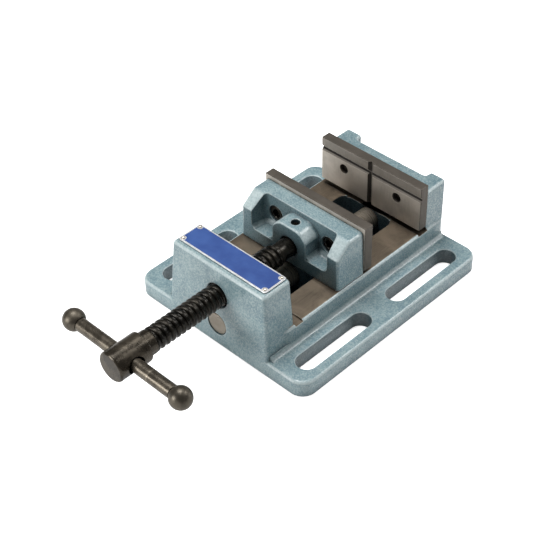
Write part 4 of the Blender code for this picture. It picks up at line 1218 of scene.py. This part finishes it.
@dataclass
class MovableJaw:
    """The painted sliding jaw: sloped wings, pocket, arched boss and lug."""

    length: float = 0.0208
    top: float = 0.0526
    bottom: float = 0.0234
    half_foot: float = 0.0375
    half_top: float = 0.0366
    knee: float = 0.0108
    wing_front: float = 0.0444
    edge: float = 0.0019
    recess_depth: float = 0.0111
    recess_floor: float = 0.0322
    recess_half: Point2 = (0.0274, 0.0290)
    recess_fillet: float = 0.0036
    boss_half: float = 0.0131
    boss_shoulder: float = 0.0436
    boss_pad: Point2 = (0.0074, 0.0490)
    lug_half: float = 0.0170
    lug_bottom: float = 0.0045
    lug_edge: float = 0.0012
    screw_z: float = 0.0349
    rod_z: float = 0.0147
    rod_bore_r: float = 0.0072
    pad_hole_back: float = 0.01485
    plate_screws: Point2 = (0.0203, 0.0406)
    clearance_r: float = 0.00285
    counterbore_r: float = 0.0054

    def __post_init__(self) -> None:
        """Take the jaw's place from its solid."""
        self.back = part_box("movable_jaw")[1].y
        self.front = self.back - self.length

    def make_blank(self) -> bpy.types.Object:
        """The outer form, with rounded sides, flat where it meets the plate and the bed."""
        extra = self.edge + 0.001
        corners = [(self.front, self.bottom - extra), (self.back + extra, self.bottom - extra),
                   (self.back + extra, self.top), (self.back - self.knee, self.top),
                   (self.front, self.wing_front)]
        half = self.half_foot
        blank = slab("movable_jaw_body", corners, [0.0005, 0.0005, 0.0005, 0.0045, 0.0022],
                     eased(-half, half, self.edge, self.edge, 5), Facing.ALONG_X)
        for vert in blank.data.vertices:
            share = (vert.co.z - self.bottom) / (self.top - self.bottom)
            vert.co.x *= 1 + (self.half_top / self.half_foot - 1) * share
        behind = block("behind", (-0.06, self.back, 0.0), (0.06, self.back + 0.02, 0.08))
        below = block("below", (-0.06, self.front - 0.02, 0.0), (0.06, self.back + 0.02, self.bottom))
        return cut(blank, [behind, below])

    def make_recess(self) -> bpy.types.Object:
        """The pocket's cutter, wider towards the front and filleted at its floor."""
        back = self.front + self.recess_depth
        near, far = self.recess_half[1], self.recess_half[0]
        start = self.front - 0.006
        corners = [(-near - 0.001, start), (near + 0.001, start), (far, back), (-far, back)]
        levels = eased(self.recess_floor, 0.058, self.recess_fillet, 0.0, 5)
        return slab("pocket", corners, [0.0005, 0.0005, 0.0030, 0.0030], levels, steps=6)

    def make_boss(self) -> bpy.types.Object:
        """The arched boss over the screw."""
        half, pad = self.boss_half, self.boss_pad
        foot = self.recess_floor - 0.004
        arch = [(-half, foot), (half, foot), (half, self.boss_shoulder), (pad[0], pad[1]),
                (-pad[0], pad[1]), (-half, self.boss_shoulder)]
        flipped = [(x, -z) for x, z in reversed(arch)]
        radii = [0.0070, 0.0064, 0.0064, 0.0070, 0.0003, 0.0003]
        back = self.front + self.recess_depth + 0.002
        return slab("boss", flipped, radii, eased(self.front, back, 0.0012, 0.0, 4), Facing.ALONG_Y)

    def make_flares(self) -> list[bpy.types.Object]:
        """The hollow fillets where the boss meets the pocket's floor."""
        half, floor, reach = self.boss_half - 0.00005, self.recess_floor - 0.00005, self.recess_fillet
        shape = [*hollow_arc(half, floor, reach), (half - 0.001, floor + reach),
                 (half - 0.001, floor - 0.001), (half + reach, floor - 0.001)]
        made = []
        for side in (1, -1):
            corners = [(side * x, -z) for x, z in (reversed(shape) if side > 0 else shape)]
            levels = [(self.front + 0.0006, 0.0), (self.front + self.recess_depth + 0.001, 0.0)]
            made.append(slab("boss_flare", corners, [0.0] * len(corners), levels, Facing.ALONG_Y, steps=1))
        return made

    def make_lug(self) -> bpy.types.Object:
        """The foot in the base's channel."""
        low = (-self.lug_half, self.front + 0.001, self.lug_bottom)
        high = (self.lug_half, self.back - 0.001, self.bottom + 0.003)
        return block("lug", low, high, self.lug_edge, self.lug_edge, 0.0)

    def cutters(self) -> list[bpy.types.Object]:
        """Spindle bore, rod bore, pad hole, and the plate screws' holes."""
        spindle_r, spindle_end = 0.00605, 0.0203
        profile = [(0, 0), (0.0085, 0), (spindle_r, 0.0028), (spindle_r, spindle_end), (0, spindle_end)]
        spindle = lathe("spindle_bore", profile, (0, self.front - 0.002, self.screw_z), ALONG_Y, 64)
        rod_bore = rod("lug_bore", self.rod_bore_r, (0, self.front - 0.01, self.rod_z), ALONG_Y, 0.05, 64)
        pad_y = self.back - self.pad_hole_back
        pad = lathe("pad_hole", [(0, 0), (0.0042, 0), (0.00275, 0.0020), (0.00275, 0.0158), (0, 0.0158)],
                    (0, pad_y, self.boss_pad[1] + 0.00165), (0, 0, -1), 40)
        made = [spindle, rod_bore, pad]
        seat = self.front + self.recess_depth + 0.0056
        for x in (-self.plate_screws[0], self.plate_screws[0]):
            made.append(rod("clearance", self.clearance_r, (x, seat - 0.001, self.plate_screws[1]),
                            ALONG_Y, 0.03, 32))
            made.append(rod("counterbore", self.counterbore_r,
                            (x, self.front - 0.001, self.plate_screws[1]), ALONG_Y,
                            seat - self.front + 0.001, 48))
        return made

    def shelter(self, face: bpy.types.MeshPolygon) -> int:
        """Pick darker enamel as painted shade for sheltered faces: the pocket, the front and the lug."""
        centre, normal = face.center, face.normal
        if centre.z < self.bottom - 0.0001:
            return 2
        back = self.front + self.recess_depth
        inside = abs(centre.x) < self.recess_half[1] and self.front + 0.0004 < centre.y < back + 0.0002
        in_pocket = inside and centre.z > self.recess_floor - 0.0002 and normal.z < 0.9
        on_boss = (abs(centre.x) < self.boss_half + 0.0002
                   and centre.z > self.recess_floor + self.recess_fillet)
        low_front = (normal.y < -0.9 and centre.y < self.front + 0.0002
                     and centre.z < self.screw_z + 0.012)
        return 1 if (in_pocket and not (on_boss and normal.z > 0.3)) or low_front else 0

    def build(self, finishes: Finishes) -> None:
        """Build, dress and place the jaw."""
        body = cut(join(self.make_blank(), [self.make_lug()]), [self.make_recess()])
        body = cut(join(body, [self.make_boss(), *self.make_flares()]), self.cutters())
        body = smooth(body)
        dress(body, [finishes.enamel, finishes.enamel_pocket_shaded, finishes.enamel_painted_shade], self.shelter)
        place(body, Body.JAW, ["movable_jaw"])


@dataclass
class JawPlates:
    """The two ground jaw plates; the fixed one has V-grooves for round work."""

    edge: float = 0.00045
    groove_width: float = 0.0036
    groove_depth: float = 0.0017
    groove_z: float = 0.0480
    screws: Point2 = (0.0203, 0.0406)

    def make_plate(self, name: str, node: str) -> bpy.types.Object:
        """A plate with eased edges and its two screw holes.

        Args:
            name: the new piece's name.
            node: the solid it stands for.

        Returns:
            The plate, in place.
        """
        low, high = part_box(node)
        corners = [(low.x, -high.z), (high.x, -high.z), (high.x, -low.z), (low.x, -low.z)]
        plate = slab(name, corners, [self.edge] * 4, eased(low.y, high.y, self.edge, self.edge, 3),
                     Facing.ALONG_Y, steps=4)
        holes = [lathe("hole", [(0, 0), (0.0034, 0), (0.00285, 0.00105), (0.00285, high.y - low.y - 0.00005),
                                (0.0034, high.y - low.y + 0.001), (0, high.y - low.y + 0.001)],
                       (x, low.y - 0.0005, self.screws[1]), (0, 1, 0), 40)
                 for x in (-self.screws[0], self.screws[0])]
        return cut(plate, holes)

    def make_grooves(self) -> list[bpy.types.Object]:
        """The level and the upright V-groove's cutters, on the fixed plate's face."""
        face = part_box("fixed_jaw_plate")[0].y
        wide = self.groove_width / 2 * (1 + 0.001 / self.groove_depth)
        triangle = [(-wide, face - 0.001), (wide, face - 0.001), (0.0, face + self.groove_depth)]
        upright = slab("upright_groove", triangle, [0.00002, 0.00002, 0.00015], [(0.0, 0.0), (0.08, 0.0)],
                       steps=3)
        level_shape = [(face - 0.001, self.groove_z - wide), (face + self.groove_depth, self.groove_z),
                       (face - 0.001, self.groove_z + wide)]
        level = slab("level_groove", level_shape, [0.00002, 0.00015, 0.00002], [(-0.06, 0.0), (0.06, 0.0)],
                     Facing.ALONG_X, steps=3)
        return [upright, level]

    def pick(self, face: bpy.types.MeshPolygon) -> int:
        """Give a face its finish: 0 clamping face, 1 edge, 2 groove in dark steel as painted shade, 3 the
        groove's lip with painted shade at its root, 4 upper land in darker steel as painted shade.
        """
        if 0.6 < abs(face.normal.y) < 0.8:
            return 2 if face.normal.z < 0.3 else 3
        if abs(face.normal.y) > 0.6:
            return 4 if face.normal.y < 0 and face.center.z > self.groove_z + 0.001 else 0
        return 1

    def build(self, finishes: Finishes) -> None:
        """Build, dress and place both plates."""
        steel = [finishes.jaw_face, finishes.jaw_edge, finishes.groove, finishes.groove_lip,
                 finishes.jaw_land_shaded]
        moving = smooth(self.make_plate("movable_plate_ground", "movable_jaw_plate"))
        place(dress(moving, steel, self.pick), Body.JAW, ["movable_jaw_plate"])
        fixed = smooth(cut(self.make_plate("fixed_plate_ground", "fixed_jaw_plate"), self.make_grooves()))
        place(dress(fixed, steel, self.pick), Body.BASE, ["fixed_jaw_plate"])


@dataclass
class LeadScrew:
    """Head with a cross hole, grooved neck, thread and journal."""

    head_r: float = 0.0090
    head_length: float = 0.0220
    neck_r: float = 0.0072
    neck_length: float = 0.0055
    thread_length: float = 0.0945
    axis_z: float = 0.0349
    bar_r: float = 0.0040
    bar_from_front: float = 0.0106
    journal_r: float = 0.00575
    groove_r: float = 0.0042
    groove_width: float = 0.0044
    rule: ThreadRule = ThreadRule()

    def __post_init__(self) -> None:
        """Take the screw's place from its solid."""
        low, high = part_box("lead_screw")
        self.front = low.y
        self.back = high.y
        self.thread_start = self.front + self.head_length + self.neck_length
        self.thread_end = self.thread_start + self.thread_length

    def make_head(self) -> bpy.types.Object:
        """The head and neck, with a rimmed cross hole."""
        r, length, neck = self.head_r, self.head_length, self.head_length + self.neck_length
        profile = [(0, 0), (r - 0.0011, 0), (r - 0.0008, 0.0001), (r - 0.0001, 0.0008), (r, 0.0011),
                   (r, length - 0.0008), (r - 0.0002, length - 0.0003), (r - 0.0007, length),
                   (self.neck_r + 0.0003, length), (self.neck_r, length + 0.0003),
                   (self.neck_r, neck - 0.0006), (self.neck_r - 0.0005, neck), (0, neck)]
        head = lathe("screw_head", profile, (0, self.front, self.axis_z), (0, 1, 0), 96)
        hole_r, rim_r = self.bar_r + GAP, self.bar_r + GAP + 0.0012
        rim = [(0, 0), (rim_r, 0), (rim_r, 0.0030), (hole_r, 0.0060), (hole_r, 0.0180),
               (rim_r, 0.0210), (rim_r, 0.0240), (0, 0.0240)]
        start = (-0.0120, self.front + self.bar_from_front, self.axis_z)
        cross = lathe("cross_hole", rim, start, ALONG_X, 56)
        return cut(head, [cross])

    def make_thread(self, metal: bpy.types.Material) -> bpy.types.Object:
        """The thread, grown by rule from the neck to the journal."""
        rule = self.rule
        rows = math.ceil((self.thread_length / rule.lead + 3) * rule.rows_per_lead)
        values = {"Start": self.thread_start - 0.001, "End": self.thread_end, "Height": self.axis_z,
                  "Lead": rule.lead, "Crest Radius": rule.crest_r, "Root Radius": rule.root_r,
                  "Crest Phase": rule.crest_phase, "Rows": rows, "Rows Per Lead": rule.rows_per_lead,
                  "Segments": rule.segments, "Metal": metal}
        return grow("screw_thread", rule.tree(), values)

    def make_journal(self) -> bpy.types.Object:
        """The plain end that turns in the jaw, with its retaining groove."""
        r = self.journal_r
        start = self.thread_end - 0.001
        end = self.back - start
        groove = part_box("spindle_retaining_screw")
        middle = (groove[0].y + groove[1].y) / 2 - start
        first, last = middle - self.groove_width / 2, middle + self.groove_width / 2
        profile = [(0, 0), (r - 0.0009, 0), (r, 0.0011), (r, first), (self.groove_r, first),
                   (self.groove_r, last), (r, last), (r, end - 0.0008), (r - 0.0008, end), (0, end)]
        return lathe("screw_journal", profile, (0, start, self.axis_z), (0, 1, 0), 72)

    def build(self, finishes: Finishes) -> None:
        """Build, dress and place the three pieces of the screw."""
        head = dress(smooth(self.make_head()), [finishes.brown])
        place(head, Body.SCREW, ["lead_screw"])
        thread = self.make_thread(finishes.black)
        thread.data.shade_smooth()
        thread.data.set_sharp_from_angle(angle=math.radians(60))
        place(thread, Body.SCREW, [])
        journal = dress(smooth(self.make_journal()), [finishes.black])
        place(journal, Body.SCREW, [])


@dataclass
class Handle:
    """The sliding bar and its two balls."""

    bar_r: float = 0.0040
    ball_r: float = 0.0065
    ball_flat: float = 0.0051
    tenon_r: float = 0.0025
    tenon: float = 0.0050

    def make_bar(self) -> bpy.types.Object:
        """The bar with a short tenon at each end."""
        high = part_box("handle_bar")[1]
        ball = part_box("handle_ball_right")
        shoulder = high.x - self.tenon
        r = self.bar_r
        profile = [(0, -high.x), (self.tenon_r, -high.x), (self.tenon_r, -shoulder), (r - 0.0003, -shoulder),
                   (r, -shoulder + 0.0003), (r, shoulder - 0.0003), (r - 0.0003, shoulder),
                   (self.tenon_r, shoulder), (self.tenon_r, high.x), (0, high.x)]
        y, z = (ball[0].y + ball[1].y) / 2, (ball[0].z + ball[1].z) / 2
        return lathe("handle_bar_turned", profile, (0, y, z), ALONG_X, 64)

    def make_ball(self, name: str, side: int) -> bpy.types.Object:
        """A turned ball with a flat and a blind hole on the bar's side.

        Args:
            name: the piece's name.
            side: 1 for the right end, -1 for the left.

        Returns:
            The ball.
        """
        low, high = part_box("handle_ball_right")
        centre = high.x - self.ball_r
        y, z = (low.y + high.y) / 2, (low.z + high.z) / 2
        last = math.pi - math.acos(self.ball_flat / self.ball_r)
        steps = 30
        arc = [(self.ball_r * math.sin(last * step / steps), self.ball_r * math.cos(last * step / steps))
               for step in range(steps + 1)]
        arc[0] = (0, self.ball_r)
        hole = self.tenon_r + GAP
        bottom = self.tenon + GAP - self.ball_flat
        profile = arc + [(hole, -self.ball_flat), (hole, bottom), (0, bottom)]
        return lathe(name, profile, (side * centre, y, z), (side, 0, 0), 72)

    def build(self, finishes: Finishes) -> None:
        """Build, dress and place the bar and the balls."""
        bar = dress(smooth(self.make_bar()), [finishes.brown_bar])
        place(bar, Body.HANDLE, ["handle_bar"])
        for side, label in ((-1, "left"), (1, "right")):
            ball = smooth(self.make_ball(f"ball_{label}_turned", side), 40)
            dress(ball, [finishes.brown_ball])
            place(ball, Body.HANDLE, [f"handle_ball_{label}"])


@dataclass
class GuideRod:
    """The ground rod that the jaw's lug slides on."""

    chamfer: float = 0.0006

    def build(self, finishes: Finishes) -> None:
        """Build, dress and place the rod."""
        low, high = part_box("guide_rod")
        r = (high.x - low.x) / 2
        length = high.y - low.y
        c = self.chamfer
        profile = [(0, 0), (r - c, 0), (r - 0.3 * c, 0.3 * c), (r, c), (r, length - c), (r - c, length),
                   (0, length)]
        turned = lathe("guide_rod_ground", profile, (0, low.y, (low.z + high.z) / 2), (0, 1, 0), 96)
        place(dress(smooth(turned), [finishes.rod]), Body.BASE, ["guide_rod"])


@dataclass
class Screws:
    """Socket cap screws behind both plates, and the two set screws."""

    head_r: float = 0.00475
    head: float = 0.0050
    shank_r: float = 0.00255
    socket: float = 0.0030
    spacing: float = 0.0406

    def make_cap_screw(self, shank: float, side: int) -> bpy.types.Object:
        """One cap screw at the origin, its seat at the origin and its head outwards along Y.

        Args:
            shank: length of the shank.
            side: 1 for a head towards +Y, -1 towards -Y.

        Returns:
            The screw.
        """
        r, top = self.head_r, self.head + GAP
        profile = [(0, -shank), (self.shank_r - 0.0004, -shank), (self.shank_r, -shank + 0.0005),
                   (self.shank_r, GAP), (r, GAP), (r, top - 0.0006), (r - 0.0002, top - 0.0002),
                   (r - 0.0006, top), (0, top)]
        screw = lathe("cap_screw", profile, (0, 0, 0), (0, side, 0), 56)
        hexagon = lathe("socket", [(0, 0), (self.socket, 0), (self.socket, 0.006), (0, 0.006)],
                        (0, side * (top - 0.0027), 0), (0, side, 0), 6)
        flare = [(0, 0), (self.socket - 0.0004, 0), (self.socket + 0.0006, 0.0008), (0, 0.0008)]
        rim = lathe("socket_rim", flare, (0, side * (top - 0.0004), 0), (0, side, 0), 40)
        return smooth(cut(screw, [hexagon, rim]))

    def build_pair(self, body: Body, label: str, side: int, ranks: bpy.types.NodeTree,
                   finishes: Finishes) -> None:
        """Repeat a cap screw in the two holes of one jaw.

        Args:
            body: the body the pair rides on.
            label: the solids' common name, such as fixed_plate_screw.
            side: 1 for heads towards +Y, -1 towards -Y.
            ranks: the rule that repeats them.
            finishes: the materials.
        """
        nodes = [f"{label}_left", f"{label}_right"]
        low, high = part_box(nodes[0])
        head_end = high.y if side > 0 else low.y
        seat = head_end - side * (self.head + GAP)
        shank = abs((low.y if side > 0 else high.y) - seat)
        screw = self.make_cap_screw(shank, side)
        pair = grow(f"{label}s", ranks, {"Piece": screw, "Middle": (0.0, seat, (low.z + high.z) / 2),
                                         "Spacing X": self.spacing, "Spacing Y": 0.0, "Count X": 2,
                                         "Count Y": 1, "Metal": finishes.black})
        bpy.data.objects.remove(screw, do_unlink=True)
        place(pair, body, nodes)

    def build_set_screw(self, node: str, body: Body, up: int, finishes: Finishes) -> None:
        """Build one set screw from its solid's box.

        Args:
            node: the solid it stands for.
            body: the body it rides on.
            up: 1 if its socket faces up, -1 if it faces down.
            finishes: the materials.
        """
        low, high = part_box(node)
        r = (high.x - low.x) / 2
        length = high.z - low.z
        tip = 0.0016 if up > 0 else r - 0.0006
        step = length - 0.0045 if up > 0 else 0.0006
        profile = [(0, 0), (tip, 0), (tip, step), (r, step + 0.0003), (r, length - 0.0005),
                   (r - 0.0005, length), (0, length)]
        start_z = low.z if up > 0 else high.z
        middle = ((low.x + high.x) / 2, (low.y + high.y) / 2)
        screw = lathe(f"{node}_turned", profile, (*middle, start_z), (0, 0, up), 40)
        end_z = high.z if up > 0 else low.z
        hexagon = lathe("socket", [(0, 0), (0.0015, 0), (0.0015, 0.004), (0, 0.004)],
                        (*middle, end_z - up * 0.0022), (0, 0, up), 6)
        screw = dress(smooth(cut(screw, [hexagon])), [finishes.black])
        place(screw, body, [node])

    def build(self, finishes: Finishes, ranks: bpy.types.NodeTree) -> None:
        """Build every screw."""
        self.build_pair(Body.BASE, "fixed_plate_screw", 1, ranks, finishes)
        self.build_pair(Body.JAW, "movable_plate_screw", -1, ranks, finishes)
        self.build_set_screw("spindle_retaining_screw", Body.JAW, 1, finishes)
        self.build_set_screw("guide_rod_set_screw", Body.BASE, -1, finishes)


@dataclass
class NamePlate:
    """A blank name plate: a bright border round a blue field, held by four drive pins."""

    border: float = 0.0009
    corner: float = 0.0012
    field_rise: float = 0.00006
    notch_r: float = 0.0018
    pin_inset: float = 0.0020
    pin_r: float = 0.0011
    pin_height: float = 0.0007

    def __post_init__(self) -> None:
        """Take the plate's place from its solid."""
        self.low, self.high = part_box("name_plate")

    def make_plate(self) -> bpy.types.Object:
        """The bright plate with rounded corners."""
        return block("name_plate_bright", self.low, self.high, self.corner, 0.0001, 0.0002, steps=6)

    def make_field(self) -> bpy.types.Object:
        """The blue field, with its corners cut in round the pins."""
        middle = (self.low + self.high) / 2
        half_x, half_y = (self.high.x - self.low.x) / 2, (self.high.y - self.low.y) / 2
        pin_x, pin_y = half_x - self.pin_inset, half_y - self.pin_inset
        edge_x, edge_y = half_x - self.border, half_y - self.border
        reach = math.sqrt(self.notch_r ** 2 - (self.pin_inset - self.border) ** 2)
        first = math.atan2(edge_y - pin_y, -reach)
        last = math.atan2(-reach, edge_x - pin_x) + math.tau
        notch = [(pin_x + self.notch_r * math.cos(angle), pin_y + self.notch_r * math.sin(angle))
                 for angle in (last + (first - last) * step / 10 for step in range(11))]
        corners = []
        for turn_x, turn_y in ((1, 1), (-1, 1), (-1, -1), (1, -1)):
            corner = [(middle.x + turn_x * x, middle.y + turn_y * y) for x, y in notch]
            corners += corner if turn_x * turn_y > 0 else corner[::-1]
        top = self.high.z
        return slab("name_plate_field", corners, [0.00005] * len(corners),
                    [(top - 0.0002, 0.0), (top + self.field_rise, 0.0)], steps=1)

    def make_pin(self) -> bpy.types.Object:
        """One drive pin at the origin, under its head."""
        dome = [(self.pin_r * math.sin(angle), self.pin_height * math.cos(angle))
                for angle in (math.pi / 2 * step / 8 for step in range(9))]
        dome[0] = (0, self.pin_height)
        profile = dome + [(0.0006, 0.0), (0.0006, -0.0045), (0, -0.0045)]
        return smooth(lathe("drive_pin", profile, (0, 0, 0), (0, 0, 1), 24), 50)

    def build(self, finishes: Finishes, ranks: bpy.types.NodeTree) -> None:
        """Build, dress and place the plate, its field and its pins."""
        place(dress(smooth(self.make_plate()), [finishes.plate]), Body.BASE, ["name_plate"])
        place(dress(smooth(self.make_field()), [finishes.blue]), Body.BASE, [])
        pin = self.make_pin()
        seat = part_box("name_plate_pin_1")[1].z - self.pin_height
        middle = ((self.low.x + self.high.x) / 2, (self.low.y + self.high.y) / 2, seat)
        pins = grow("name_plate_pins", ranks, {
            "Piece": pin, "Middle": middle, "Spacing X": self.high.x - self.low.x - 2 * self.pin_inset,
            "Spacing Y": self.high.y - self.low.y - 2 * self.pin_inset, "Count X": 2, "Count Y": 2,
            "Metal": finishes.pin})
        bpy.data.objects.remove(pin, do_unlink=True)
        place(pins, Body.BASE, [f"name_plate_pin_{number}" for number in range(1, 5)])


# ---------------------------------------------------------------- studio


@dataclass(frozen=True)
class Studio:
    """A pale floor, soft lights and the camera."""

    camera_at: tuple[float, float, float] = (0.40635, -0.43511, 0.52668)
    azimuth: float = 45.378
    elevation: float = 41.063
    roll: float = -1.574
    lens: float = 91.33
    aim: tuple[float, float, float] = (0.0, -0.01, 0.03)
    sky_seen: float = 1.05
    sky_light: float = 0.11
    floor_glow: float = 0.82

    def make_floor(self) -> None:
        """A large pale floor, which isn't part of the object."""
        bm = bmesh.new()
        bmesh.ops.create_grid(bm, x_segments=1, y_segments=1, size=4.0)
        floor = from_bmesh("studio_floor", bm)
        floor.location.z = -0.0002
        material, s, shader = start_material("studio_floor")
        shader.inputs["Base Color"].default_value = (0.93, 0.93, 0.93, 1.0)
        shader.inputs["Roughness"].default_value = 0.9
        shader.inputs["Specular IOR Level"].default_value = 0.1
        shader.inputs["Emission Color"].default_value = (1.0, 1.0, 1.0, 1.0)
        seen = s.add("ShaderNodeLightPath").outputs["Is Camera Ray"]
        s.feed(shader.inputs["Emission Strength"], s.sum("MULTIPLY", seen, self.floor_glow))
        floor.data.materials.append(material)

    def make_lamp(self, name: str, at: Sequence[float], size: float, power: float, tint: Colour) -> None:
        """A square soft light that faces the vise.

        Args:
            name: the light's name.
            at: its place.
            size: its side.
            power: its power in watts.
            tint: its colour.
        """
        data = bpy.data.lights.new(name, "AREA")
        data.size = size
        data.energy = power
        data.color = tint
        lamp = bpy.data.objects.new(name, data)
        lamp.location = at
        lamp.visible_camera = False
        lamp.rotation_euler = (Vector(self.aim) - Vector(at)).to_track_quat("-Z", "Y").to_euler()
        bpy.context.scene.collection.objects.link(lamp)

    def make_lights(self) -> None:
        """A sky that is bright only to the camera, and four soft lamps."""
        world = bpy.data.worlds.new("studio")
        world.use_nodes = True
        world.node_tree.nodes["Background"].inputs["Color"].default_value = (1.0, 1.0, 1.0, 1.0)
        s = Sketch(world.node_tree)
        seen = s.add("ShaderNodeLightPath").outputs["Is Camera Ray"]
        s.feed(world.node_tree.nodes["Background"].inputs["Strength"],
               s.sum("MAXIMUM", s.sum("MULTIPLY", seen, self.sky_seen), self.sky_light))
        bpy.context.scene.world = world
        warm, neutral, cool = (1.0, 0.99, 0.97), (1.0, 0.995, 0.99), (0.98, 0.99, 1.0)
        self.make_lamp("front", (-0.40, -1.08, 0.36), 0.42, 8.6, warm)
        self.make_lamp("overhead", (-0.22, 0.02, 1.10), 0.50, 9.6, neutral)
        self.make_lamp("rear", (0.42, 0.72, 1.00), 0.42, 5.0, neutral)
        self.make_lamp("side", (0.44, 0.46, 0.16), 0.20, 0.52, cool)

    def make_camera(self) -> None:
        """The camera, from its solved place and turn."""
        data = bpy.data.cameras.new("camera")
        data.lens = self.lens
        data.sensor_width = 36.0
        data.clip_start = 0.01
        data.clip_end = 20.0
        a, e, r = (math.radians(value) for value in (self.azimuth, self.elevation, self.roll))
        back = Vector((math.sin(a) * math.cos(e), -math.cos(a) * math.cos(e), math.sin(e)))
        level = Vector((math.cos(a), math.sin(a), 0.0))
        upright = back.cross(level)
        right = math.cos(r) * level + math.sin(r) * upright
        up = -math.sin(r) * level + math.cos(r) * upright
        camera = bpy.data.objects.new("camera", data)
        turn = Matrix((right, up, back)).transposed().to_4x4()
        camera.matrix_world = Matrix.Translation(self.camera_at) @ turn
        bpy.context.scene.collection.objects.link(camera)
        bpy.context.scene.camera = camera

    def build(self) -> None:
        """Set the whole studio up."""
        self.make_floor()
        self.make_lights()
        self.make_camera()
        bpy.context.scene.view_settings.view_transform = "Standard"


def main() -> None:
    """Build the vise and its studio."""
    logging.basicConfig(level=logging.INFO, format="%(name)s %(message)s")
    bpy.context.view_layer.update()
    finishes = Finishes()
    ranks = ranks_tree()
    BaseCasting().build(finishes)
    MovableJaw().build(finishes)
    JawPlates().build(finishes)
    LeadScrew().build(finishes)
    Handle().build(finishes)
    GuideRod().build(finishes)
    Screws().build(finishes, ranks)
    NamePlate().build(finishes, ranks)
    Studio().build()


if __name__ == "__main__":
    main()
